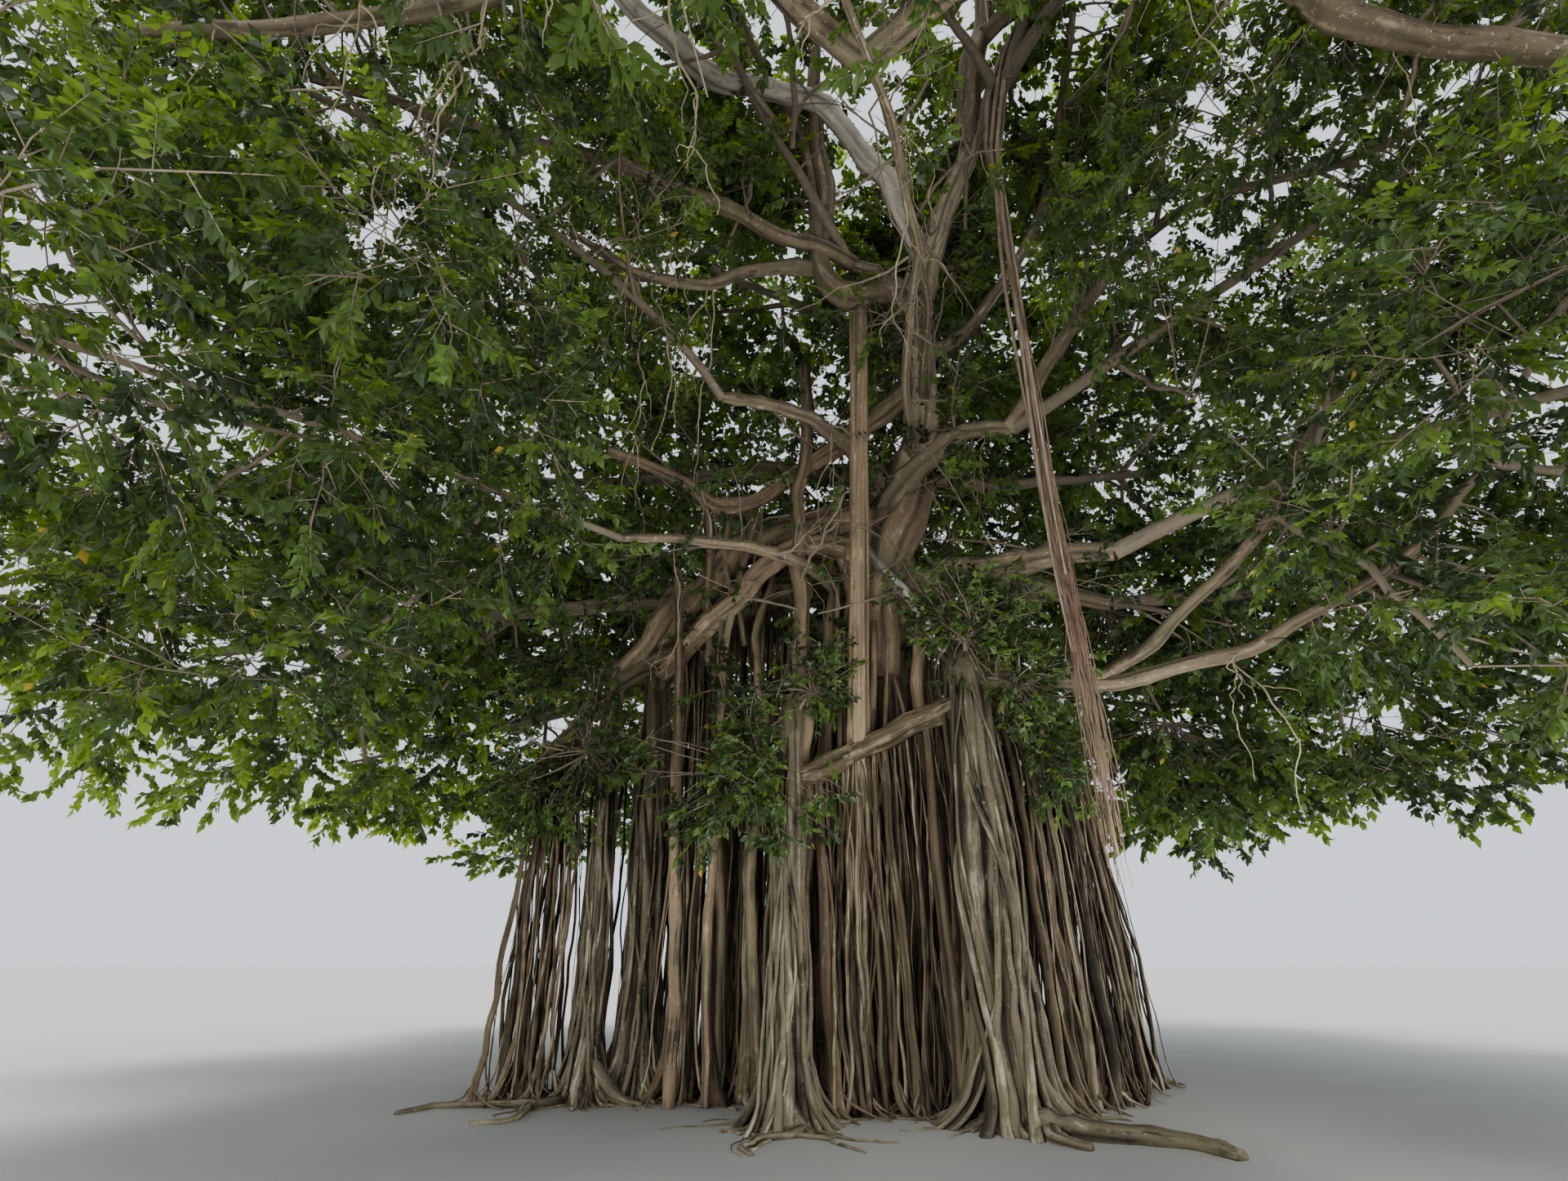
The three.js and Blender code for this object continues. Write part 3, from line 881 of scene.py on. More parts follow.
@dataclass(frozen=True)
class Trunk:
    """The fluted trunk with the stems and roots that have grown together round it.

    Its fork stands off its foot by lean, and lean_power brings the bend up to the fork. Strands
    are the roots that run down its face, with the least and the greatest height and radius.
    """

    height: float = 9.1
    lean: Pair = (0.6, -1.3)
    lean_power: float = 1.6
    foot_radius: float = 0.9
    fork_radius: float = 0.56
    flare: float = 0.52
    flare_height: float = 0.65
    flutes: int = 7
    flute_depth: float = 0.11
    stem_girth: float = 0.21
    stem_radii: Pair = (0.21, 0.23)
    stems: tuple[TrunkStem, ...] = (
        TrunkStem(-152, 1.7, 8.3),
        TrunkStem(-60, 1.5, 8.5),
        TrunkStem(12, 1.85, 7.9),
        TrunkStem(80, 1.8, 8.2),
        TrunkStem(145, 1.9, 7.4),
    )
    strands: int = 34
    strand_top: Pair = (3.5, 8.8)
    strand_girth: Pair = (0.05, 0.12)

    def axis(self, z: Union[Array, float]) -> Array:
        """The trunk's axis.

        Args:
            z: Heights, up to the fork.

        Returns:
            A point for each height.
        """
        z = np.atleast_1d(z)
        share = np.maximum(z / self.height, 0.0) ** self.lean_power
        return np.stack([self.lean[0] * share, self.lean[1] * share, z], axis=1)

    def girth(self, z: Array, angle: Array) -> Array:
        """The trunk's radius with its flutes.

        Args:
            z: Heights.
            angle: Angles round the trunk, in radians.

        Returns:
            The radius at each.
        """
        taper = self.foot_radius + (self.fork_radius - self.foot_radius) * z / self.height
        flute = 1 + self.flute_depth * np.cos(self.flutes * angle + z / 2.6)
        return (taper + self.flare * np.exp(-z / self.flare_height)) * flute

    def build(self) -> None:
        """Makes the trunk's piece."""
        rng = np.random.default_rng(11)
        wood = Wood()
        z = rising(self.height, 90)
        ribs = Relief((self.flutes, 13, 23), (0.24, 0.12, 0.06), 0.35, seed=3)
        wood.tube(self.axis(z), self.girth(z, np.pi / 14), 64, ribs, level=True, tone=-0.3)
        for index, stem in enumerate(self.stems):
            path = self.stem_path(stem, 60)
            girth = footed(self.stem_girth, *self.stem_radii, stem.joint)(path[:, 2])
            wood.tube(path, girth, 18, Relief(seed=20 + index), level=True)
        for index in range(self.strands):
            self.strand(wood, index, rng)
        wood.piece("trunk_bark_relief", TRUNK_BARK, ["trunk"])

    def stem_path(self, stem: TrunkStem, count: int) -> Array:
        """The axis of a fused stem.

        Args:
            stem: The stem.
            count: How many points to return.

        Returns:
            Its points, from its foot to its joint.
        """
        z = rising(stem.joint, count)
        foot = at_bearing(stem.bearing, stem.reach)
        share = ((z / stem.joint) ** 1.5)[:, None]
        path = foot + (self.axis(stem.joint)[0] - foot) * share
        path[:, 2] = z
        return path

    def strand(self, wood: Wood, index: int, rng: Random) -> None:
        """Lays one root down the trunk's face.

        Args:
            wood: The piece under way.
            index: Which strand it is; they go round the trunk by the golden angle.
            rng: Source of its sway.
        """
        top = rng.uniform(*self.strand_top)
        angle = index * GOLDEN_ANGLE + rng.normal(0, 0.1)
        z = rising(top, 36, 1.3)
        turn = angle + 0.25 * np.sin(z * rng.uniform(0.3, 0.7) + rng.uniform(0, 6))
        thick = rng.uniform(*self.strand_girth)
        radius = self.girth(z, turn) * 0.97 + 0.35 * rng.random() * np.exp(-z / 0.8)
        path = meander(wound(self.axis(z), turn, radius), 0.05, rng)
        girth = drawn_in(footed(thick, thick, thick * 0.7, top)(z), (0.85, 0.65, 0.4, 0.1))
        # Painted shade on the side of the strand that faces the trunk.
        wood.tube(path, girth, 8, Relief.fine(100 + index), level=True, heart=self.axis(z))


def footed(girth: float, foot: float, head: float, height: float) -> Girth:
    """The radius of an upright root that swells at its foot.

    Args:
        girth: The root's own girth, which sets the swelling.
        foot: Radius at the ground without it.
        head: Radius at the head.
        height: Height of the head.

    Returns:
        A function from height to radius.
    """
    return lambda z: foot + (head - foot) * z / height + girth * 0.6 * np.exp(-z / 0.26)


def knotted(girth: Array, rng: Random) -> Array:
    """Swells a limb here and there where it is scarred.

    Args:
        girth: Radius at each of its points.
        rng: Source of the places.

    Returns:
        The radius with the knots.
    """
    place = np.arange(len(girth))
    swollen = np.ones(len(girth))
    for _ in range(max(2, len(girth) // 7)):
        knot = rng.uniform(3, len(girth) - 3)
        height, spread = rng.uniform(0.06, 0.22), rng.uniform(0.6, 1.8)
        swollen += height * np.exp(-(((place - knot) / spread) ** 2))
    return girth * swollen


# Crown: where each mass is


@dataclass
class Mass:
    """A leafy mass and the bough that carries it.

    Attributes:
        name: Its name, without the node's first word.
        centre: The middle of its space.
        half: Its half sizes.
        base: Height on the trunk or leader where its bough starts.
        rise: How far the bough bows up.
        girth: The bough's radius at its base and at its tip.
        turn: Which way the bough sways.
        path: The bough's axis, from base to tip.
    """

    name: str
    centre: Array
    half: Array
    base: float
    rise: float
    girth: Pair
    turn: float
    path: Array = field(default_factory=lambda: np.zeros((0, 3)))

    @property
    def size(self) -> float:
        """The mean of the half sizes."""
        return float(np.mean(self.half))


@dataclass(frozen=True)
class Ring:
    """A ring of masses round the trunk: its place, the masses' sizes, and their boughs' sizes."""

    tier: str
    middle: Pair
    radius: float
    height: float
    half: Point
    first: float
    step: float
    base: float
    rise: float
    girth: Pair
    names: tuple[str, ...]


@dataclass
class Crown:
    """The masses, their boughs and their spaces.

    The leader is the bough that goes on from the trunk, and leader_sway has shares of it with how
    far it stands to the side there. The boughs in slim are thinner than their solids, by a share,
    and the masses in over_viewer reach over the viewer.
    """

    trunk: Trunk
    leader_top: Point = (2.65, -4.5, 16.3)
    leader_bow: Point = (0.1, 1.1, 0.0)
    leader_girth: Pair = (0.43, 0.21)
    leader_sway: tuple[Pair, ...] = (
        (0.0, 0.0), (0.12, 0.26), (0.25, 0.36), (0.38, 0.08), (0.5, -0.24), (0.65, -0.42),
        (0.8, -0.34), (0.92, -0.08), (1.0, 0.0),
    )
    leader_mass: str = "top_front_right"
    base_spread: float = 0.5
    sway: float = 0.7
    gap: float = 0.06
    slim: tuple[tuple[str, float], ...] = (
        ("front_low", 0.34), ("front_mid", 0.34), ("top_front_right", 0.82),
        ("low_left_front", 0.42), ("mid_left_front", 0.7)
    )
    rings: tuple[Ring, ...] = (
        Ring("low", (0, -1.0), 9.9, 6.9, (5.7, 5.7, 3.7), -140, -37.1, 7.5, 0.5, (0.31, 0.13),
             ("left_front", "left", "left_back", "back_left", "back_right", "right_back", "right",
              "right_front")),
        Ring("mid", (0, -1.5), 7.9, 12.0, (6.0, 6.0, 4.3), -146, -49.6, 9.6, 1.0, (0.27, 0.12),
             ("left_front", "left", "back_left", "back_right", "right", "right_front")),
        Ring("top", (0.3, -2.5), 4.3, 16.3, (5.6, 5.6, 4.2), -135, -90, 12.3, 0.25, (0.23, 0.11),
             ("front_left", "back_left", "back_right", "front_right")),
    )
    over_viewer: tuple[tuple[str, Point, Point, float, float, Pair], ...] = (
        ("front_mid", (-1.0, -11.3, 13.6), (5.2, 4.4, 3.5), 11.3, 1.7, (0.24, 0.11)),
        ("front_low", (-1.5, -13.9, 9.1), (5.8, 4.3, 3.9), 10.3, 3.3, (0.25, 0.11)),
    )
    masses: list[Mass] = field(default_factory=list)

    def __post_init__(self) -> None:
        """Places the masses and their boughs."""
        start = self.trunk.axis(self.trunk.height - 0.3)[0]
        self.leader = bowed(start, np.array(self.leader_top), np.array(self.leader_bow), 61)
        stops, shifts = np.array(self.leader_sway).T
        shift = np.interp(np.linspace(0, 1, 61), stops, shifts)
        smooth = np.convolve(np.pad(shift, 3, mode="edge"), np.full(7, 1 / 7), mode="valid")
        self.leader[:, 0] += smooth
        for ring in self.rings:
            for index, name in enumerate(ring.names):
                centre = at_bearing(ring.first + ring.step * index, ring.radius, ring.height)
                centre[:2] += ring.middle
                base = ring.base + self.base_spread * math.sin(index * 2.3)
                turn = 1.0 if index % 2 else -1.0
                self.masses.append(Mass(f"{ring.tier}_{name}", centre, np.array(ring.half), base,
                                        ring.rise, ring.girth, turn))
        for name, centre, half, *bough in self.over_viewer:
            self.masses.append(Mass(name, np.array(centre), np.array(half), *bough, -1.0))
        for mass in self.masses:
            self.lead_bough(mass)

    def limb_axis(self, z: float) -> Array:
        """The point at a height on the trunk or, above the fork, on the leader.

        Args:
            z: The height.

        Returns:
            The point.
        """
        if z < self.trunk.height:
            return self.trunk.axis(z)[0]
        span = self.leader_top[2] - self.trunk.height
        return along_path(self.leader, min(1.0, (z - self.trunk.height) / span))

    def inside(self, mass: Mass, points: Array, fill: float = 1.0, over: float = 0.0) -> Array:
        """Whether points are in a mass's own space.

        Args:
            mass: The mass.
            points: The points, one in each row.
            fill: Share of the space's half sizes that counts.
            over: How far beyond a plane shared with another mass still counts.

        Returns:
            True for each point within the ellipsoid and on this side of every shared plane.
        """
        offset = points - mass.centre
        held = np.linalg.norm(offset / mass.half, axis=1) <= fill
        for other in self.masses:
            if other is mass:
                continue
            across = other.centre - mass.centre
            apart = float(np.linalg.norm(across))
            share = 0.5 + (mass.size**2 - other.size**2) / (2 * apart**2)
            held &= offset @ across / apart < share * apart - self.gap / 2 + over
        return held

    def lead_bough(self, mass: Mass) -> None:
        """Sets a bough's axis from the trunk to where it enters its mass.

        Args:
            mass: The mass.
        """
        if mass.name == self.leader_mass:
            mass.path, mass.girth = self.leader, self.leader_girth
            return
        base = self.limb_axis(mass.base)
        tip = mass.centre
        inward = base - mass.centre
        inward /= np.linalg.norm(inward / mass.half)
        for share in np.arange(0.92, 0.1, -0.04):
            point = mass.centre + inward * share
            if self.inside(mass, point[None])[0]:
                tip = point
                break
        across = np.cross(tip - base, UP)
        across = across / np.linalg.norm(across) * self.sway * mass.turn
        mass.path = bowed(base, tip, np.array([across[0], across[1], mass.rise]), 33)

    def slimness(self, mass: Mass) -> float:
        """A bough's girth as a share of its solid's."""
        return dict(self.slim).get(mass.name, 1.0)

    def build_boughs(self) -> None:
        """Makes a piece of each bough, swollen at its base and with its bark."""
        for index, mass in enumerate(self.masses):
            rng = np.random.default_rng(200 + index)
            wood = Wood()
            leads = mass.name == self.leader_mass
            count = 80 if leads else 54
            path = meander(evenly(mass.path, count), 0.05 if leads else 0.12, rng)
            path = kinked(path, 0.035 if leads else 0.055, 0.8, rng)
            collar = 1 + 0.3 * np.exp(-np.linspace(0, 14, count))
            girth = knotted(np.linspace(*mass.girth, count) * self.slimness(mass) * collar, rng)
            wood.tube(path, girth, 36 if leads else 20,
                      Relief((5, 9, 15), (0.14, 0.07, 0.04), 0.5, seed=30 + index), tone=0.1)
            finish = LEADER_BARK if leads else LIMB_BARK
            wood.piece(f"bough_{mass.name}_bark", finish, [f"bough_{mass.name}"])


@dataclass(frozen=True)
class Limb:
    """A limb or root with a course of its own.

    Attributes:
        course: The points that it runs through.
        girth: Its radius at its start and at its end.
        sway: How far it wanders between them.
    """

    course: tuple[Point, ...]
    girth: Pair
    sway: float = 0.04

    def path(self, rng: Random) -> Array:
        """Its axis, with points about as far apart as it is thick.

        Args:
            rng: Source of its bends.

        Returns:
            The axis.
        """
        length = distances(np.array(self.course))[-1]
        count = int(np.clip(length / max(0.09, 0.6 * self.girth[0]), 12, 80))
        path = meander(threaded(self.course, count), self.sway, rng)
        return kinked(path, 0.4 * self.sway + 0.12 * self.girth[1], 0.55, rng)


@dataclass(frozen=True)
class Limbs:
    """A piece of several limbs in one finish.

    Attributes:
        name: The piece's name.
        finish: Its finish.
        nodes: The solids that it grows in.
        limbs: The limbs.
        seed: Seed of their bark.
    """

    name: str
    finish: Finish
    nodes: tuple[str, ...]
    limbs: tuple[Limb, ...]
    seed: int

    def paths(self) -> list[tuple[Array, Array]]:
        """The limbs' axes and radii.

        Returns:
            Axis and radius of each.
        """
        rng = np.random.default_rng(self.seed)
        made = []
        for limb in self.limbs:
            path = limb.path(rng)
            made.append((path, knotted(np.linspace(*limb.girth, len(path)), rng)))
        return made

    def build(self) -> None:
        """Makes the piece."""
        wood = Wood()
        for index, (path, girth) in enumerate(self.paths()):
            sides = int(np.clip(girth[0] * 110, 8, 26))
            wood.tube(path, girth, sides,
                      Relief((4, 7, 12), (0.18, 0.1, 0.05), 0.9, seed=self.seed + index))
        wood.piece(self.name, self.finish, self.nodes)


TANGLE = Limbs(
    "trunk_tangle", TANGLE_BARK, ("trunk", "pillar_left_inner", "pillar_left_outer"),
    (
        Limb(((1.27, -1.95, 11.71), (0.4, -1.9, 10.83), (-0.46, -1.8, 10.21), (-1.15, -1.7, 9.73),
              (-1.68, -1.65, 9.37), (-2.36, -1.7, 9.3), (-3.2, -2.0, 9.7), (-4.3, -2.5, 9.9)),
             (0.21, 0.09)),
        Limb(((0.5, -1.2, 9.3), (-0.55, -1.45, 8.89), (-1.3, -1.5, 8.83), (-1.97, -1.5, 8.45),
              (-2.47, -1.4, 7.79), (-3.03, -1.3, 7.2), (-3.5, -1.2, 6.5)), (0.34, 0.24)),
        Limb(((0.4, -1.5, 8.0), (-0.43, -1.9, 8.3), (-1.08, -2.1, 8.08), (-1.63, -2.1, 7.5),
              (-2.18, -2.0, 7.0), (-2.66, -1.8, 6.53), (-3.25, -1.35, 6.1)), (0.22, 0.15)),
        Limb(((-0.73, -1.6, 12.6), (-0.67, -1.75, 11.44), (-0.77, -1.9, 10.18),
              (-0.89, -2.1, 8.98), (-0.94, -2.3, 7.89), (-0.85, -2.4, 6.72), (-0.84, -2.5, 4.74),
              (-0.92, -2.55, 2.99), (-1.0, -2.6, 0.0)), (0.12, 0.13), 0.05),
        Limb(((-3.08, -1.75, 8.8), (-2.97, -1.85, 7.42), (-2.86, -1.95, 5.94), (-2.78, -2.05, 4.47),
              (-2.69, -2.1, 2.49), (-2.62, -2.15, 0.0)), (0.07, 0.08), 0.02),
        Limb(((1.28, -1.6, 9.64), (1.06, -1.75, 8.91), (0.8, -1.75, 8.3), (0.55, -1.6, 7.3),
              (0.5, -1.5, 6.0)), (0.36, 0.3)),
        Limb(((-2.56, -1.75, 9.1), (-2.48, -1.8, 8.16), (-2.52, -1.8, 7.21), (-2.4, -1.8, 6.31),
              (-2.21, -1.8, 5.47), (-2.12, -1.85, 3.9), (-2.02, -1.9, 0.0)), (0.075, 0.08)),
        Limb(((-1.6, -1.8, 9.0), (-1.92, -2.0, 7.58), (-2.1, -2.1, 6.77), (-2.19, -2.1, 5.78),
              (-2.1, -2.1, 4.0), (-2.2, -2.1, 2.0), (-2.15, -2.15, 0.0)), (0.07, 0.06)),
        Limb(((-2.14, -1.7, 9.0), (-2.18, -1.75, 7.86), (-1.99, -1.8, 7.21), (-1.8, -1.85, 6.44)),
             (0.06, 0.05)),
        Limb(((-0.3, -1.4, 9.0), (-0.35, -1.8, 7.4), (-0.5, -2.0, 5.6), (-0.45, -2.1, 3.0),
              (-0.6, -2.2, 0.0)), (0.1, 0.1), 0.06),
        Limb(((0.9, -1.5, 8.9), (1.15, -1.9, 7.3), (1.0, -2.1, 5.5), (1.1, -2.2, 3.0),
              (0.95, -2.3, 0.0)), (0.1, 0.09), 0.06),
        Limb(((-0.9, -1.3, 8.6), (-1.7, -1.2, 8.0), (-2.6, -1.3, 7.7), (-3.3, -1.5, 6.9),
              (-3.9, -1.5, 6.1)), (0.2, 0.15), 0.08),
        Limb(((-1.5, -1.6, 8.9), (-1.35, -1.9, 7.6), (-1.6, -2.1, 6.5), (-1.45, -2.2, 5.0),
              (-1.6, -2.2, 2.5), (-1.5, -2.3, 0.0)), (0.065, 0.07), 0.07),
        Limb(((0.35, -1.4, 10.6), (-0.1, -1.7, 9.6), (-0.2, -1.8, 8.4), (0.0, -1.9, 7.0),
              (-0.1, -2.0, 5.0), (0.1, -2.1, 0.0)), (0.09, 0.1), 0.06),
    ), 301,
)


@dataclass(frozen=True)
class InnerRoots:
    """The many roots that stand close round the trunk, inside the ring of pillars.

    Attributes:
        count: How many there are.
        reach: The least and the greatest distance of their feet from the trunk's axis.
        top: The least and the greatest height of their heads.
        girth: The least and the greatest radius.
    """

    count: int = 150
    reach: Pair = (1.25, 2.45)
    top: Pair = (4.6, 7.6)
    girth: Pair = (0.022, 0.085)

    def build(self, trunk: Trunk) -> None:
        """Makes the piece.

        Args:
            trunk: The trunk that their heads lean to.
        """
        rng = np.random.default_rng(77)
        wood = Wood()
        for index in range(self.count):
            bearing = math.degrees(index * GOLDEN_ANGLE)
            reach = rng.uniform(*self.reach)
            top = rng.uniform(*self.top)
            foot = at_bearing(bearing, reach) + np.array([0.1, -0.15, 0.0])
            head = trunk.axis(top)[0] + at_bearing(bearing + rng.normal(0, 12), reach * 0.62)
            z = rising(top, 17, 1.25)
            path = foot + (head - foot) * ((z / top) ** 1.4)[:, None]
            path[:, 2] = z
            size = self.girth[0] + (self.girth[1] - self.girth[0]) * rng.random() ** 1.8
            path = meander(path, 0.12, rng, tied=0.7)
            # Painted shade: the roots inside the ring of pillars are dealt darker tones.
            wood.tube(path, footed(size, size, size * 0.8, top)(z), 6,
                      Relief((3, 5), (0.2, 0.12), 0.8, seed=400 + index), level=True,
                      tone=rng.uniform(-1.0, 0.2))
        wood.piece("inner_roots", CURTAIN_BARK, ["trunk"])


@dataclass(frozen=True)
class HangingTwigs:
    """Thin bare twigs and roots that hang from the limbs.

    Attributes:
        near: How many long ones hang from the limbs on the viewer's left.
        near_limbs: The side limbs that carry those in turn.
        spread: How many short ones hang from the other boughs.
        girth: The least and the greatest radius.
    """

    near: int = 20
    near_limbs: tuple[int, ...] = (3, 9, 3, 4)
    spread: int = 90
    girth: Pair = (0.006, 0.018)

    def near_paths(self) -> list[Array]:
        """The long ones.

        Returns:
            Their axes.
        """
        rng = np.random.default_rng(92)
        limbs = [path for path, _ in SIDE_LIMBS.paths()]
        made = []
        for index in range(self.near):
            carrier = limbs[self.near_limbs[index % len(self.near_limbs)]]
            start = along_path(carrier, 0.34 + 0.5 * ((index * GOLDEN_SHARE) % 1.0))
            aside = at_bearing(rng.uniform(0, 360), rng.uniform(0.3, 0.9))
            tip = start + aside - UP * rng.uniform(1.8, 4.2)
            path = meander(bowed(start, tip, aside * 1.1, 26), 0.16, rng, tied=0.5)
            made.append(kinked(path, 0.03, 0.3, rng))
        return made

    def build(self, crown: Crown) -> None:
        """Makes the piece.

        Args:
            crown: The crown whose boughs carry them.
        """
        rng = np.random.default_rng(91)
        wood = Wood()
        for path in self.near_paths():
            self.twig(wood, path, self.girth[1], 7, rng)
        carriers = [path for path, _ in SIDE_LIMBS.paths()] + [mass.path for mass in crown.masses]
        for _ in range(self.spread):
            start = along_path(carriers[rng.integers(len(carriers))], rng.uniform(0.35, 1.0))
            aside = at_bearing(rng.uniform(0, 360), rng.uniform(0.05, 0.5))
            tip = start + aside - UP * rng.uniform(0.6, 2.6)
            path = meander(bowed(start, tip, aside * 0.9, 20), 0.14, rng, tied=0.5)
            self.twig(wood, path, rng.uniform(*self.girth), 1, rng)
        nodes = ["crown_mid_left_front", "crown_front_mid", "crown_low_left_front"]
        wood.piece("hanging_twigs", HANGING_BARK, nodes)

    def twig(self, wood: Wood, path: Array, size: float, forks: int, rng: Random) -> None:
        """Makes one with its forks.

        Args:
            wood: The piece under way.
            path: Its axis.
            size: Its radius.
            forks: How many forks it has.
            rng: Source of the forks.
        """
        wood.tube(path, (size, size * 0.8, size * 0.35), 4)
        for _ in range(forks):
            fork = along_path(path, rng.uniform(0.1, 0.9))
            reach = at_bearing(rng.uniform(0, 360), rng.uniform(0.1, 0.5))
            end = fork + reach - UP * rng.uniform(0.2, 1.1)
            side = kinked(meander(bowed(fork, end, reach * 0.6, 10), 0.05, rng), 0.02, 0.2, rng)
            wood.tube(side, (size * 0.6, size * 0.25), 4)


SMOOTH_LIMBS = Limbs(
    "pale_limbs", PALE_BARK, ("trunk", "bough_top_front_left", "crown_top_front_left"),
    (
        Limb(((1.62, -2.94, 13.84), (1.35, -3.3, 14.25), (0.87, -3.9, 14.98), (0.26, -4.1, 15.83),
              (-0.36, -4.4, 16.6), (-1.46, -4.8, 16.5), (-2.49, -5.2, 16.28), (-3.25, -5.7, 16.5),
              (-3.86, -6.1, 16.86), (-4.38, -6.6, 17.35)), (0.2, 0.17), 0.03),
        Limb(((0.3, -1.55, 8.5), (0.54, -2.0, 7.81), (0.81, -2.3, 7.25), (0.98, -2.5, 6.82),
              (1.14, -2.7, 6.31), (1.42, -2.85, 5.8)), (0.085, 0.075), 0.02),
    ), 302,
)
SIDE_LIMBS = Limbs(
    "side_limbs", LIMB_BARK,
    ("crown_low_right_front", "crown_mid_right_front", "crown_top_front_left", "crown_front_mid",
     "crown_mid_left_front", "crown_top_front_right"),
    (
        Limb(((1.62, -2.85, 5.45), (2.11, -2.75, 5.49), (2.96, -2.6, 5.5), (3.7, -2.9, 5.4),
              (4.59, -3.4, 5.52), (5.39, -3.9, 5.63), (6.08, -4.4, 5.96), (6.6, -4.9, 6.26),
              (7.03, -5.5, 6.65), (7.58, -6.0, 7.28)), (0.14, 0.05)),
        Limb(((3.4, -2.8, 5.42), (4.15, -3.2, 5.84), (4.59, -3.5, 6.28), (5.22, -3.9, 6.77),
              (5.84, -4.4, 7.5), (6.23, -4.9, 8.27), (6.82, -5.3, 9.17), (7.29, -5.8, 9.9),
              (7.85, -6.3, 10.6)), (0.1, 0.04)),
        Limb(((2.7, -2.95, 10.0), (3.76, -3.4, 11.56), (4.49, -3.7, 12.61), (5.15, -4.0, 13.29),
              (6.28, -4.6, 13.74), (7.01, -5.2, 13.45), (7.56, -5.8, 12.99), (8.29, -6.6, 12.77)),
             (0.14, 0.06)),
        Limb(((0.18, -3.29, 13.6), (-0.54, -3.6, 13.76), (-1.3, -3.9, 13.66), (-2.32, -4.3, 13.97),
              (-3.03, -4.6, 14.05), (-4.19, -5.2, 13.99), (-5.28, -5.9, 13.43),
              (-6.05, -6.4, 13.03), (-6.81, -7.0, 12.7), (-7.37, -7.6, 12.17)), (0.15, 0.06)),
        Limb(((-0.34, -3.2, 13.55), (-1.15, -3.5, 13.3), (-1.95, -3.8, 12.81), (-2.57, -4.0, 12.35),
              (-3.6, -4.5, 12.0), (-4.6, -5.2, 12.2)), (0.16, 0.05)),
        Limb(((1.55, -2.75, 13.47), (0.95, -3.0, 13.2), (0.27, -3.22, 12.85), (-0.2, -3.3, 12.9),
              (-0.49, -3.4, 13.6), (-0.37, -3.7, 14.74), (-0.51, -4.2, 16.41), (-0.59, -4.8, 17.73),
              (-0.67, -5.2, 18.7)), (0.23, 0.1)),
        Limb(((-0.49, -3.4, 13.7), (-0.75, -4.0, 15.97), (-1.39, -4.6, 17.03), (-2.01, -5.2, 18.06),
              (-2.25, -5.6, 18.7)), (0.12, 0.06)),
        Limb(((1.5, -2.4, 12.4), (2.14, -2.5, 12.5), (3.2, -3.2, 13.57), (3.89, -3.9, 14.94),
              (4.14, -4.6, 16.53), (4.33, -5.4, 18.0)), (0.12, 0.06)),
        Limb(((-0.09, -7.51, 12.65), (1.2, -8.3, 13.2), (2.7, -9.0, 13.0), (4.4, -9.0, 11.7),
              (5.28, -9.0, 10.7), (6.6, -9.2, 9.9), (8.2, -9.5, 9.5)), (0.19, 0.13)),
        Limb(((-0.09, -7.51, 12.65), (-2.3, -9.0, 12.6), (-4.9, -8.8, 11.5), (-6.3, -8.9, 10.9),
              (-7.8, -9.2, 10.3)), (0.17, 0.07)),
        Limb(((2.3, -4.2, 15.7), (2.39, -4.9, 16.78), (2.62, -5.3, 17.61), (2.5, -5.8, 18.5)),
             (0.24, 0.12)),
        Limb(((2.6, -5.2, 17.4), (3.39, -5.5, 18.03), (4.3, -5.9, 18.4)), (0.17, 0.1)),
    ), 303,
)


# Pillar roots, prop roots, root curtains and the hanging bundle


@dataclass(frozen=True)
class Creeper:
    """A root that creeps over the ground from a pillar's foot, swinging to the sides."""

    bearing: float
    reach: float
    swing: float
    girth: float


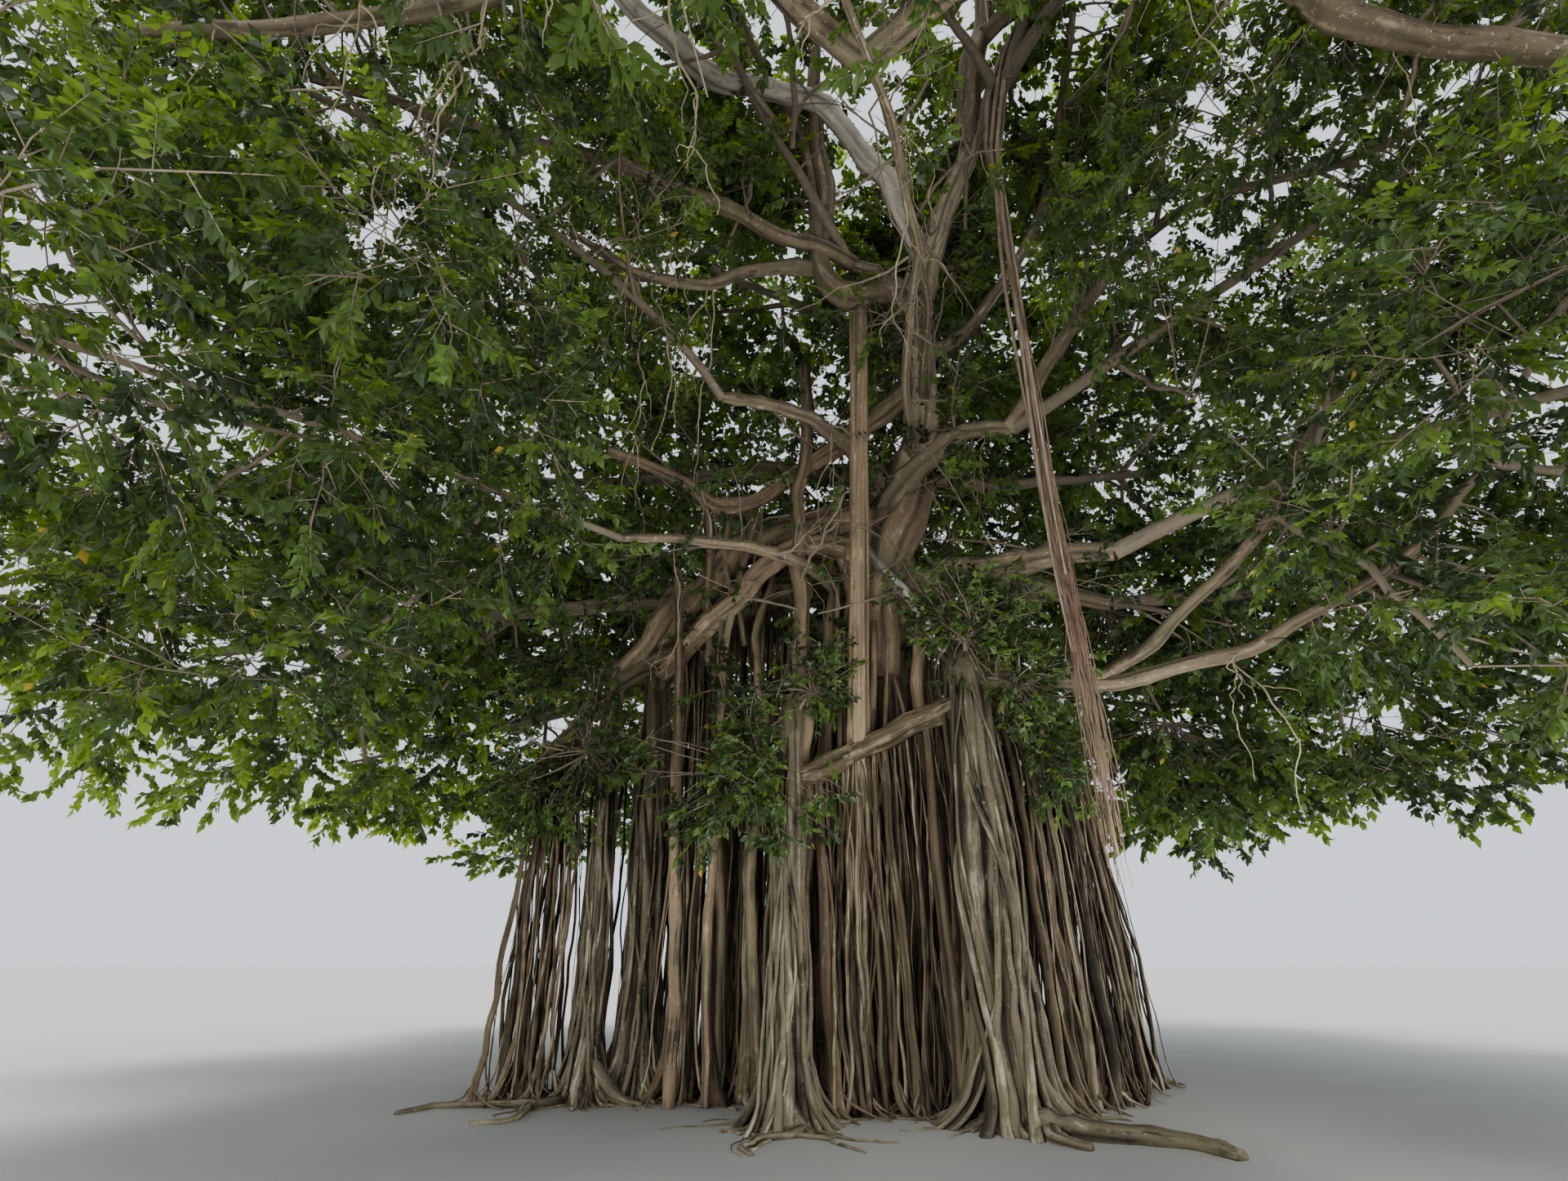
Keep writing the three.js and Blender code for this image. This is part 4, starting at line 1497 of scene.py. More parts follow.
@dataclass(frozen=True)
class Pillar:
    """A pillar root with its arm to the trunk and its splayed foot.

    Attributes:
        arm: Height on the trunk where its arm ends.
        splay: Bearings of the roots that its foot splays into.
        broad: Factor on how far the strands stand off its axis.
        stout: How many stout strands it has.
        strands: How many thin ones.
        splay_start: How high the splayed roots leave the shaft.
    """

    name: str
    foot: Pair
    head: Point
    girth: Pair
    arm: float
    arm_girth: float
    splay: tuple[float, ...]
    creepers: tuple[Creeper, ...] = ()
    broad: float = 1.0
    stout: int = 9
    strands: int = 28
    rootlets: int = 22
    splay_reach: float = 0.78
    splay_start: float = 0.76
    splay_girth: float = 0.105

    @property
    def ground(self) -> Array:
        """The middle of its foot."""
        return np.array([*self.foot, 0.0])

    def axis(self, z: Union[Array, float]) -> Array:
        """The shaft's axis at heights."""
        rise = np.atleast_1d(z) / self.head[2]
        return self.ground + (np.array(self.head) - self.ground) * rise[:, None]

    def radius(self, z: Array) -> Array:
        """The shaft's radius at heights."""
        return footed(self.girth[0], *self.girth, self.head[2])(z)

    def build(self, trunk: Trunk, seed: int) -> None:
        """Makes the pillar's piece.

        Args:
            trunk: The trunk that its arm meets.
            seed: Seed of its bark and strands.
        """
        rng = np.random.default_rng(seed)
        wood = Wood()
        height = self.head[2]
        z = rising(height, 50)
        girth = drawn_in(self.radius(z), (0.93, 0.8, 0.5))
        ribs = Relief((5, 8, 13), (0.3, 0.16, 0.08), 0.6, seed=seed)
        # Painted shade: the core under the strands gets the darkest tone, so the gaps between them
        # read as shade.
        wood.tube(self.axis(z), girth * 0.78, 22, ribs, level=True, tone=-1.6)
        knob = self.axis(height * np.linspace(0.88, 1.02, 9))
        swell = np.array([0.8, 1.0, 1.1, 1.16, 1.18, 1.12, 0.96, 0.7, 0.3])
        wood.tube(knob, self.girth[1] * swell * 0.82, 22, ribs, level=True, tone=0.1)
        shoulder = self.axis(height - self.arm_girth * 1.2)[0]
        arm = bowed(shoulder, trunk.axis(self.arm)[0], 0.35 * UP, 36)
        arm = kinked(meander(arm, 0.16, rng), 0.03, 0.5, rng)
        girth = knotted(np.linspace(self.arm_girth * 0.85, self.arm_girth, len(arm)), rng)
        ribs = Relief((5, 8, 13), (0.24, 0.12, 0.05), 0.6, seed=seed + 1)
        wood.tube(arm, girth, 26, ribs, tone=-0.4)
        for index in range(self.stout + self.strands):
            self.strand(wood, index, rng)
        for index in range(4 * len(self.splay)):
            self.splay_root(wood, index, rng)
        for _ in range(self.rootlets):
            self.rootlet(wood, rng)
        for creeper in self.creepers:
            self.creep(wood, creeper, rng)
        wood.piece(f"{self.name}_bark", PILLAR_BARK, [self.name])

    def strand(self, wood: Wood, index: int, rng: Random) -> None:
        """Lays one root down the pillar, grown together with its face; the first are stout.

        Args:
            wood: The piece under way.
            index: Which strand it is.
            rng: Source of its course.
        """
        stout = index < self.stout
        top = self.head[2] * rng.uniform(*((0.92, 1.02) if stout else (0.4, 0.97)))
        z = rising(top, 40 if stout else 30, 1.3)
        sway = 0.22 if stout else 0.7
        turn = index * GOLDEN_ANGLE + sway * np.sin(z * rng.uniform(0.4, 1.0) + rng.uniform(0, 6))
        thick = self.girth[0] * rng.uniform(*((0.27, 0.4) if stout else (0.08, 0.2)))
        offset = (0.66 if stout else rng.uniform(0.85, 1.12)) * self.broad
        flare = self.girth[0] * rng.uniform(0.1, 1.1) * np.exp(-z / rng.uniform(0.15, 0.4))
        closing = 1 - (0.2 if stout else 0.4) * (z / top) ** 8
        radius = (self.radius(z) * offset + flare) * closing
        path = meander(wound(self.axis(z), turn, radius), 0.03 if stout else 0.07, rng)
        path = kinked(path, 0.012, 0.5, rng)
        path[0, 2] = 0.0
        girth = knotted(footed(thick, thick, thick * 0.72, top)(z), rng)
        girth = drawn_in(girth, (0.95, 0.86, 0.7, 0.4))
        # Painted shade on the side of the strand that faces the shaft.
        wood.tube(path, girth, 11 if stout else 5, Relief.fine(index), level=True,
                  tone=rng.uniform(-0.9, 0.9), heart=self.axis(z))

    def rootlet(self, wood: Wood, rng: Random) -> None:
        """Runs one thin root from the pillar's foot over the ground.

        Args:
            wood: The piece under way.
            rng: Source of its course.
        """
        bearing = rng.uniform(0, 360)
        reach = rng.uniform(0.3, 1.35)
        start = self.ground + at_bearing(bearing, self.girth[0] * 1.2)
        end = start + at_bearing(bearing + rng.normal(0, 25), reach)
        bow = at_bearing(bearing + 90, rng.normal(0, 0.2) * reach)
        path = kinked(meander(bowed(start, end, bow, 14), 0.13, rng, tied=0.4), 0.02, 0.2, rng)
        thick = rng.uniform(0.012, 0.042)
        path[:, 2] = thick * 0.25 + 0.12 * np.exp(-np.arange(len(path)) / 1.5)
        wood.tube(path, (thick, thick * 0.75, thick * 0.25), 5)

    def splay_root(self, wood: Wood, index: int, rng: Random) -> None:
        """Runs one root from the pillar's face out along the ground; later ones are side roots.

        Args:
            wood: The piece under way.
            index: Which root it is.
            rng: Source of its course.
        """
        main = index < len(self.splay)
        order = index % len(self.splay)
        bearing = self.splay[order] + (0 if main else rng.uniform(-48, 48))
        reach = self.splay_reach * (1 + 0.18 * (order % 3)) * (1.0 if main else 0.9)
        rise = self.splay_start * (1 + 0.35 * (order % 2)) * (1.0 if main else 0.7)
        thick = self.splay_girth * (0.9 if main else rng.uniform(0.25, 0.65))
        end = self.ground + at_bearing(bearing, reach)
        bow = at_bearing(bearing, -reach * 0.2, -rise * 0.42)
        path = meander(bowed(self.axis(rise)[0], end, bow, 26), 0.05, rng)
        path[:, 2] = np.maximum(path[:, 2], thick * 0.25)
        wood.tube(kinked(path, 0.015, 0.2, rng), (thick, thick * 0.85, thick * 0.3), 9,
                  Relief((4, 7), (0.22, 0.12), 0.8, seed=index + 60))

    def creep(self, wood: Wood, creeper: Creeper, rng: Random) -> None:
        """Lays one sinuous root over the ground.

        Args:
            wood: The piece under way.
            creeper: The root's sizes.
            rng: Source of its bends.
        """
        t = np.linspace(0, 1, 46)[:, None]
        path = self.ground + at_bearing(creeper.bearing, creeper.reach) * t
        path = path + at_bearing(creeper.bearing + 90, creeper.swing) * np.sin(t * 6)
        path = kinked(meander(path, 0.04, rng), 0.03, 0.25, rng)
        girth = knotted(creeper.girth * (1 - 0.62 * t[:, 0]), rng)
        path[:, 2] = girth * 0.35
        wood.tube(path, girth, 12, Relief((4, 7, 11), (0.2, 0.12, 0.06), 1.2, seed=77))


PILLARS = (
    Pillar("pillar_left_outer", (-3.9, -1.45), (-3.98, -1.5, 6.15), (0.2, 0.17), 8.3, 0.23,
           (150, -85, -30), (Creeper(-148, 2.3, 0.3, 0.09), Creeper(-118, 2.0, -0.34, 0.08))),
    Pillar("pillar_left_inner", (-3.23, -1.05), (-3.33, -1.15, 6.55), (0.29, 0.24), 8.8, 0.3,
           (-115, -65, 10)),
    Pillar("pillar_front", (-1.13, -3.35), (-1.08, -3.0, 5.0), (0.25, 0.18), 6.9, 0.17,
           (-150, -105, -65, -20), (Creeper(-100, 1.5, 0.26, 0.075),), splay_reach=0.5,
           splay_start=0.45),
    Pillar("pillar_right", (1.5, -3.15), (1.56, -2.9, 5.9), (0.33, 0.29), 8.0, 0.23,
           (-140, -95, -30), (Creeper(-50, 2.5, -0.24, 0.19), Creeper(-72, 1.5, 0.22, 0.14)), 1.22),
    Pillar("pillar_back_left", (-2.2, 2.9), (-2.15, 2.65, 6.2), (0.28, 0.23), 8.2, 0.25,
           (80, 130, 200), (Creeper(140, 2.3, 0.3, 0.11),)),
    Pillar("pillar_back_right", (2.5, 2.7), (2.4, 2.5, 6.0), (0.3, 0.24), 7.9, 0.25,
           (5, 60, 120), (Creeper(40, 2.4, -0.3, 0.12),)),
)


@dataclass(frozen=True)
class Prop:
    """A straight pole root that came down from a high bough.

    It hangs under a mass's bough, at a share of it, cut shorter than its solid, with its waist
    just above the foot.
    """

    name: str
    foot: Pair
    under: str
    at: float
    girth: Pair
    cut: float = 0.0
    waist: float = 0.74
    strands: int = 5

    def top(self, crown: Crown) -> Array:
        """The point on the bough that it hangs from."""
        mass = next(mass for mass in crown.masses if mass.name == self.under)
        return along_path(mass.path, self.at)

    def axis(self, crown: Crown) -> Array:
        """The pole's axis, no higher than its solid.

        Args:
            crown: The crown with the bough that it hangs from.

        Returns:
            The axis, from its foot up.
        """
        top = self.top(crown)
        z = rising(top[2], 90, 1.2)
        z = z[z <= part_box(self.name)[1].z + 0.05 - self.cut]
        foot = np.array([*self.foot, 0.0])
        return foot + (top - foot) * (z / top[2])[:, None]

    def build(self, crown: Crown, seed: int) -> None:
        """Makes the pole's piece.

        Args:
            crown: The crown with the bough that it hangs from.
            seed: Seed of its bark.
        """
        rng = np.random.default_rng(seed)
        wood = Wood()
        height = self.top(crown)[2]
        path = self.axis(crown)
        z = path[:, 2]
        girth = footed(self.girth[0], self.girth[0] * self.waist, self.girth[1], height)(z)
        girth = drawn_in(girth, (0.95, 0.85, 0.6))
        ribs = Relief((4, 7, 13), (0.16, 0.08, 0.04), 0.5, seed=seed)
        wood.tube(path, girth * 0.97, 36, ribs, level=True)
        for index in range(self.strands):
            turn = index * GOLDEN_ANGLE + 0.7 * np.sin(z * 0.45 + index)
            thick = self.girth[0] * rng.uniform(0.22, 0.34)
            size = footed(thick, thick, thick * 0.7, height)(z)
            wood.tube(wound(path, turn, girth * 0.86), size, 8, level=True)
        wood.piece(f"{self.name}_bark", TANGLE_BARK, [self.name])


PROPS = (
    Prop("prop_centre", (-0.2, -2.05), "top_front_left", 0.94, (0.19, 0.165), cut=0.8),
    Prop("prop_right", (2.35, -1.25), "mid_right", 0.46, (0.19, 0.155)),
)


@dataclass(frozen=True)
class Curtain:
    """A header limb with the roots that hang from it to the ground.

    Attributes:
        hang: Shares of the header where the first and the last root hang.
        roots: How many thick roots there are.
        spread: How far the roots' feet stand off the header's line.
        finer: How many roots there are for each thick one, with that one.
        wraps: How many roots wind round the header.
    """

    name: str
    start: Point
    end: Point
    bow: Point
    girth: Pair
    hang: Pair
    roots: int
    root_girth: float
    spread: float
    finer: int = 11
    wraps: int = 6

    def build(self, seed: int) -> None:
        """Makes the curtain's piece.

        Args:
            seed: Seed of its roots.
        """
        rng = np.random.default_rng(seed)
        wood = Wood()
        start, end = np.array(self.start), np.array(self.end)
        header = bowed(start, end, np.array(self.bow), 36)
        beam = kinked(meander(header, 0.07, rng), 0.02, 0.4, rng)
        ends = np.abs(np.linspace(-1, 1, len(beam))) ** 10
        width = np.linspace(*self.girth, len(beam)) * (1 - 0.6 * ends)
        ribs = Relief((5, 8, 13), (0.28, 0.14, 0.06), 0.8, seed=seed)
        wood.tube(beam, knotted(width * 0.95, rng), 22, ribs, tone=0.35)
        across, beside = frames_along(beam)
        for index in range(self.wraps):
            turn = index * GOLDEN_ANGLE + np.linspace(0, 3, len(beam)) * rng.uniform(-1, 1)
            wrap = beam + (np.cos(turn) * width)[:, None] * across * 0.7
            wrap = wrap + (np.sin(turn) * width)[:, None] * beside * 0.7
            thick = width * rng.uniform(0.22, 0.42)
            wood.tube(wrap, knotted(thick, rng), 8, Relief.fine(index), tone=rng.uniform(-0.2, 0.9))
        outward = unit(np.cross(end - start, UP))
        outward = outward * (1.0 if outward @ (start + end) > 0 else -1.0)
        count = self.roots * self.finer
        for i in range(count):
            self.root(wood, header, outward, i, i / (count - 1), rng)
        wood.piece(f"{self.name}_roots", CURTAIN_BARK, [self.name])

    def root(
        self,
        wood: Wood,
        header: Array,
        outward: Array,
        index: int,
        share: float,
        rng: Random,
    ) -> None:
        """Hangs one root: thick ones by the rule of the solids, thin ones between them.

        Args:
            wood: The piece under way.
            header: The header's axis.
            outward: The way off the curtain's plane.
            index: Which root it is.
            share: How far along the curtain it hangs.
            rng: Source of its sway.
        """
        thick = index % self.finer == 0
        order = index // self.finer
        head = along_path(header, self.hang[0] + (self.hang[1] - self.hang[0]) * share)
        side = math.cos(order * 2.4 if thick else index * 1.7) * self.spread
        size = self.root_girth * (1 + 0.35 * math.sin(order * 1.7))
        if thick:
            size *= rng.uniform(0.55, 0.95)
        else:
            size = self.root_girth * (0.09 + 0.45 * rng.random() ** 2.0)
            side *= rng.uniform(0.4, 1.15)
        stray = 0.09 if thick else 0.17
        foot = head + outward * side + np.array([rng.normal(0, stray), rng.normal(0, stray), 0])
        foot[2] = 0.0
        over = outward * math.copysign(self.girth[0] * rng.uniform(0.5, 0.9), side)
        top = head[2] + self.girth[0] * rng.uniform(0.0, 0.7)
        share_up = rising(1.0, 28 if thick else 19, 1.2)
        path = foot + (head + over - foot) * (share_up**1.3)[:, None]
        path = path - over * (share_up**16)[:, None]
        path[:, 2] = top * share_up
        path = kinked(meander(path, 0.045 if thick else 0.08, rng, tied=0.75), 0.013, 0.4, rng)
        path[0, 2] = 0.0
        kick = at_bearing(rng.uniform(0, 360), rng.uniform(0.0, 0.3))
        path = path + kick * np.exp(-top * share_up / 0.25)[:, None]
        girth = knotted(footed(size, size, size * 0.8, top)(top * share_up), rng)
        # Painted shade: roots on the inner side of the curtain get darker tones, and each root's
        # inward side gets painted shade through heart.
        tone = float(np.clip(rng.normal(0.3 if side > 0 else -0.7, 0.5), -1.3, 1.1))
        ribs = Relief((3, 5, 8), (0.2, 0.12, 0.06), 0.8, seed=index)
        sides = 11 if thick else 5
        wood.tube(path, girth, sides, ribs, level=True, tone=tone, heart=path - outward)
        for toe in range(4 if thick else index % 2):
            self.toe(wood, path, size, toe, rng)

    def toe(self, wood: Wood, root: Array, size: float, number: int, rng: Random) -> None:
        """Runs a rootlet from a root's foot out over the ground.

        Args:
            wood: The piece under way.
            root: The root's axis, from the ground up.
            size: The root's girth.
            number: Which of its rootlets this is.
            rng: Source of its course.
        """
        start = along_path(root, rng.uniform(0.06, 0.16))
        bearing = rng.uniform(0, 360) + number * 120
        reach = rng.uniform(0.12, 0.55) + size
        end = np.array([root[0, 0], root[0, 1], 0.01]) + at_bearing(bearing, reach)
        bow = at_bearing(bearing, -reach * 0.15, -start[2] * 0.4)
        course = meander(bowed(start, end, bow, 9), 0.04, rng)
        thick = size * rng.uniform(0.3, 0.55)
        course[:, 2] = np.maximum(course[:, 2], thick * 0.3)
        wood.tube(course, (thick, thick * 0.8, thick * 0.25), 6)


CURTAINS = (
    Curtain("curtain_left", (-5.05, -1.75, 4.3), (-3.96, -1.49, 5.7), (0, 0, 0.3), (0.08, 0.13),
            (0.03, 0.72), 5, 0.062, 0.26),
    Curtain("curtain_mid_left", (-3.31, -1.13, 6.25), (0.15, -1.15, 8.05), (0, -0.75, 0.35),
            (0.17, 0.23), (0.14, 0.68), 7, 0.08, 0.42),
    Curtain("curtain_front", (-1.09, -3.06, 3.95), (1.54, -2.9, 5.2), (0, 1.0, 0.1),
            (0.15, 0.2), (0.17, 0.84), 9, 0.082, 0.3),
    Curtain("curtain_right", (1.56, -2.9, 5.15), (3.35, -1.5, 4.5), (0.2, 0, 0.35),
            (0.21, 0.13), (0.22, 0.97), 7, 0.09, 0.38),
    Curtain("curtain_far_right", (3.37, -1.44, 4.42), (4.25, 0.35, 4.3), (0.15, 0, 0.5),
            (0.13, 0.09), (0.12, 0.97), 6, 0.066, 0.26),
    Curtain("curtain_back_left", (-4.1, 0.3, 4.7), (-2.17, 2.7, 5.6), (-0.2, 0, 0.4),
            (0.11, 0.18), (0.03, 0.84), 7, 0.085, 0.38, finer=7),
    Curtain("curtain_back_right", (-2.17, 2.72, 5.4), (2.42, 2.56, 5.4), (0, 0.9, 0.5),
            (0.18, 0.18), (0.14, 0.88), 8, 0.092, 0.38, finer=7),
)


@dataclass(frozen=True)
class Bundle:
    """The bundle of roots that drops from the leader and stops short of the ground."""

    upper: tuple[Point, ...] = (
        (4.3, -5.6, 18.5), (3.95, -5.4, 18.2), (3.2, -5.2, 17.4), (2.78, -5.0, 16.1)
    )
    head: Point = (2.52, -4.88, 14.6)
    end: Point = (2.52, -4.95, 2.75)
    radii: tuple[float, ...] = (0.046, 0.038, 0.032, 0.024, 0.018, 0.013)
    cords: int = 8
    tails: int = 60

    def build(self) -> None:
        """Makes the bundle's two pieces."""
        rng = np.random.default_rng(51)
        wood, tails = Wood(), Wood()
        head, end = np.array(self.head), np.array(self.end)
        upper = threaded([*self.upper, self.head], 30)
        drop = bowed(head, end, np.array([-0.06, 0.06, 0]), 80)
        whole = evenly(np.concatenate([upper, drop[1:]]), 110)
        t = np.linspace(0, 1, len(whole))
        for index in range(self.cords):
            turn = index * GOLDEN_ANGLE + 1.3 * np.sin(t * 5 + index) + t * 2.2
            off = (0.04 + 0.1 * np.sin(np.pi * t) ** 0.5) * (0.35 if index == 0 else 1.0)
            off = off * (1 + 0.45 * np.sin(t * 11 + 2 * index)) * (1 - 0.45 * t)
            cut = len(whole) - (index * 7) % 26
            path = meander(wound(whole, turn, off, 0.6)[:cut], 0.03, rng)
            thick = self.radii[index % len(self.radii)]
            wood.tube(path, (thick, thick, thick * 0.7, thick * 0.3), 8,
                      Relief((3, 5), (0.15, 0.1), 0.6, seed=index))
        for index in range(self.tails):
            start = whole[int(len(whole) * rng.uniform(0.55, 0.86))]
            reach = rng.uniform(0.02, 0.19)
            tip = end + at_bearing(index * 137.5, reach, rng.uniform(-0.4, 1.6))
            start = start + at_bearing(rng.uniform(0, 360), 0.06)
            path = meander(bowed(start, tip, np.zeros(3), 22), 0.07, rng, tied=0.6)
            thick = rng.uniform(0.005, 0.012)
            tails.tube(path, (thick, thick * 0.5), 4)
        tails.piece("hanging_rootlets", ROOTLET_BARK, ["hanging_roots"])
        wood.piece("hanging_roots_bundle", CORD_BARK, ["hanging_roots"])


# Twigs and leaves as joined meshes from arrays


def mesh_from_arrays(name: str, places: Array, faces: Array, smooth: bool) -> bpy.types.Mesh:
    """A mesh whose faces all have as many sides.

    Args:
        name: The mesh's name.
        places: The corners, one in each row.
        faces: A face's corner numbers in each row.
        smooth: Whether the faces are shaded smooth.

    Returns:
        The mesh.
    """
    mesh = bpy.data.meshes.new(name)
    mesh.vertices.add(len(places))
    mesh.vertices.foreach_set("co", places.astype(np.float32).ravel())
    mesh.loops.add(faces.size)
    mesh.loops.foreach_set("vertex_index", faces.astype(np.int32).ravel())
    mesh.polygons.add(len(faces))
    starts = np.arange(0, faces.size, faces.shape[1], dtype=np.int32)
    mesh.polygons.foreach_set("loop_start", starts)
    mesh.polygons.foreach_set("use_smooth", np.full(len(faces), smooth))
    mesh.update(calc_edges=True)
    return mesh


@dataclass
class Twigs:
    """Twigs under way, grouped by how many points and sides they have."""

    groups: dict[tuple[int, int], list[tuple[Array, Array]]] = field(default_factory=dict)

    def add(self, path: Array, girth: Array, sides: int) -> None:
        """Adds one twig.

        Args:
            path: Its points.
            girth: Its radius at each.
            sides: How many faces there are round it.
        """
        self.groups.setdefault((len(path), sides), []).append((path, girth))

    def mesh(self, name: str) -> bpy.types.Mesh:
        """Joins all the twigs in one mesh, with the grain that their bark follows.

        Args:
            name: The mesh's name.

        Returns:
            The mesh.
        """
        places, faces, fibres, first = [], [], [], 0
        for (count, sides), members in self.groups.items():
            paths = np.stack([path for path, _ in members])
            girths = np.stack([girth for _, girth in members])
            ring, fibre = self.rings(paths, girths, sides)
            places.append(ring.reshape(-1, 3))
            fibres.append(fibre.reshape(-1, 3))
            index = np.arange(len(members) * count * sides).reshape(len(members), count, sides)
            low, high = index[:, :-1], index[:, 1:]
            beside = [np.roll(low, -1, axis=2), np.roll(high, -1, axis=2)]
            faces.append(np.stack([low, *beside, high], axis=-1).reshape(-1, 4) + first)
            first += index.size
        mesh = mesh_from_arrays(name, np.concatenate(places), np.concatenate(faces), True)
        grain = mesh.attributes.new("grain", "FLOAT_VECTOR", "POINT")
        grain.data.foreach_set("vector", np.concatenate(fibres).astype(np.float32).ravel())
        return mesh

    @staticmethod
    def rings(paths: Array, girths: Array, sides: int) -> tuple[Array, Array]:
        """The corners of many twigs at once.

        Args:
            paths: Points of each twig.
            girths: Radius at each point.
            sides: How many faces there are round a twig.

        Returns:
            The corners and their grain, by twig, point and side.
        """
        tangents = unit(np.gradient(paths, axis=1))
        whole = unit(paths[:, -1] - paths[:, 0])
        steep = np.abs(whole[:, 2:3]) > 0.9
        reference = np.where(steep, [[1.0, 0.0, 0.0]], [[0.0, 0.0, 1.0]])[:, None]
        across = unit(np.cross(tangents, reference))
        beside = np.cross(tangents, across)
        angle = np.arange(sides) * 2 * np.pi / sides
        cos, sin = np.cos(angle)[:, None], np.sin(angle)[:, None]
        round_it = cos * across[:, :, None] + sin * beside[:, :, None]
        corners = paths[:, :, None] + girths[:, :, None, None] * round_it
        steps = np.linalg.norm(np.diff(paths, axis=1), axis=2)
        along = np.concatenate([np.zeros((len(paths), 1)), np.cumsum(steps, axis=1)], axis=1)
        along = along + paths[:, :1, 0] * 5
        fibre = np.empty_like(corners)
        fibre[..., 0] = girths[:, :, None] * cos[:, 0]
        fibre[..., 1] = girths[:, :, None] * sin[:, 0]
        fibre[..., 2] = along[:, :, None]
        return corners, fibre


@dataclass(frozen=True)
class LeafShape:
    """A leaf folded along its midrib, and how leaves sit on a spray.

    Attributes:
        length: Length of a leaf.
        width: Width across both halves.
        spray: Length of a spray's twig.
        leaves: How many leaves a spray has.
        fold: How far the edges stand above the midrib, as a share of the width.
        droop: How far the tip hangs down, as a share of the length.
        aside: The angle between a leaf and its twig, in degrees.
        outline: Points round the leaf from its root, as shares of its length and width; there
            are as many to one side as to the other, and the tip is the middle one.
    """

    length: float
    width: float
    spray: float
    leaves: int
    fold: float = 0.13
    droop: float = 0.06
    aside: float = 52.0
    outline: tuple[Pair, ...] = ((0.0, 0.0), (0.42, 0.5), (1.0, 0.0), (0.42, -0.5))

    def corners(self, roots: Array, along: Array, facing: Array, scale: Array) -> Array:
        """The corners of many leaves.

        Args:
            roots: Where each leaf starts.
            along: The way that each points.
            facing: The way that each faces, roughly.
            scale: Factor on each leaf's size.

        Returns:
            The corners of each leaf, in the order of the outline.
        """
        across = unit(np.cross(along, facing))
        normal = np.cross(across, along)
        corners = np.empty((len(roots), len(self.outline), 3))
        for corner, (forward, aside) in enumerate(self.outline):
            lift = 2 * self.fold * self.width * abs(aside) - self.droop * self.length * forward**2
            place = along * self.length * forward + across * self.width * aside + normal * lift
            corners[:, corner] = roots + scale[:, None] * place
        return corners


@dataclass
class Leaves:
    """Leaves under way, by tint."""

    groups: dict[Green, list[Array]] = field(default_factory=dict)

    def add(self, tint: Green, corners: Array) -> None:
        """Adds leaves of one tint."""
        self.groups.setdefault(tint, []).append(corners)

    def build(self, name: str, nodes: Sequence[str]) -> None:
        """Makes the leaves' pieces, each within the limit of triangles.

        Args:
            name: First word of the pieces' names.
            nodes: The solids that the leaves stand for.
        """
        for tint in sorted(self.groups, key=lambda tint: tint.name):
            corners = np.concatenate(self.groups[tint])
            sides = corners.shape[1]
            half = sides // 2
            pieces = math.ceil(len(corners) * (sides - 2) / PIECE_LIMIT)
            for number, part in enumerate(np.array_split(corners, pieces), start=1):
                first = np.arange(len(part))[:, None] * sides
                one = first + np.arange(half + 1)
                other = first + np.array([0, *range(half, sides)])
                title = f"{name}_{tint.name.lower()}_{sides}_{number}"
                faces = np.stack([one, other], axis=1).reshape(-1, half + 1)
                mesh = mesh_from_arrays(title, part.reshape(-1, 3), faces, False)
                place_piece(title, mesh, tint.value, nodes)


@dataclass(frozen=True)
class Growth:
    """How a mass is grown.

    Attributes:
        finer: Ends of finer twigs in a cubic metre.
        shape: Its leaf.
    """

    finer: float
    shape: LeafShape


@dataclass(frozen=True)
class Sight:
    """The gaps in the leaves through which the main limbs are seen from the viewer's eye.

    Attributes:
        eye: Where the viewer stands.
        tilt: How far the view is tilted up, in radians.
        margin: How far a gap is wider than its limb, as a slope from the eye.
        nearest: How far off the nearest leaves are.
    """

    eye: Point = EYE
    tilt: float = math.radians(VIEW_TILT)
    margin: float = 0.012
    nearest: float = 5.6

    def seen(self, points: Array) -> tuple[Array, Array]:
        """Where points stand in the view.

        Args:
            points: The points, one in each row.

        Returns:
            Their slopes to the right and up, and their distance ahead.
        """
        away = points - np.array(self.eye)
        cos, sin = math.cos(self.tilt), math.sin(self.tilt)
        ahead = away[:, 1] * cos + away[:, 2] * sin
        up = away[:, 2] * cos - away[:, 1] * sin
        return np.stack([away[:, 0], up], axis=1) / np.maximum(ahead, 0.1)[:, None], ahead

    def window(self, start: Pair, end: Pair, ahead: float) -> Array:
        """A line across the view.

        Args:
            start: The slopes to the right and up where it starts.
            end: Those where it ends.
            ahead: Its distance ahead.

        Returns:
            The line's points.
        """
        cos, sin = math.cos(self.tilt), math.sin(self.tilt)
        slopes = np.linspace(start, end, 12)
        away = [slopes[:, 0], cos - slopes[:, 1] * sin, sin + slopes[:, 1] * cos]
        return np.array(self.eye) + ahead * np.stack(away, axis=1)

    def clear(self, points: Array, limbs: list[tuple[Array, Array, float]], rng: Random) -> Array:
        """Whether leaves may grow at points.

        Args:
            points: The points, one in each row.
            limbs: Axis and radius of each limb to be seen, and the share of leaves that give way.
            rng: Source of chance.

        Returns:
            False for the points in front of a limb that give way.
        """
        slopes, ahead = self.seen(points)
        open_to_grow = np.ones(len(points), dtype=bool)
        for path, girth, share in limbs:
            radius = stretched(girth, 80)
            line, depth = self.seen(evenly(path, 80))
            apart = np.linalg.norm(slopes[:, None] - line[None], axis=2) - (radius / depth)[None]
            nearest = np.argmin(apart, axis=1)
            close = apart[np.arange(len(points)), nearest] < self.margin
            hides = close & (ahead < depth[nearest] - 0.15) & (ahead > 0.2)
            open_to_grow &= ~(hides & (rng.random(len(points)) < share))
        return open_to_grow


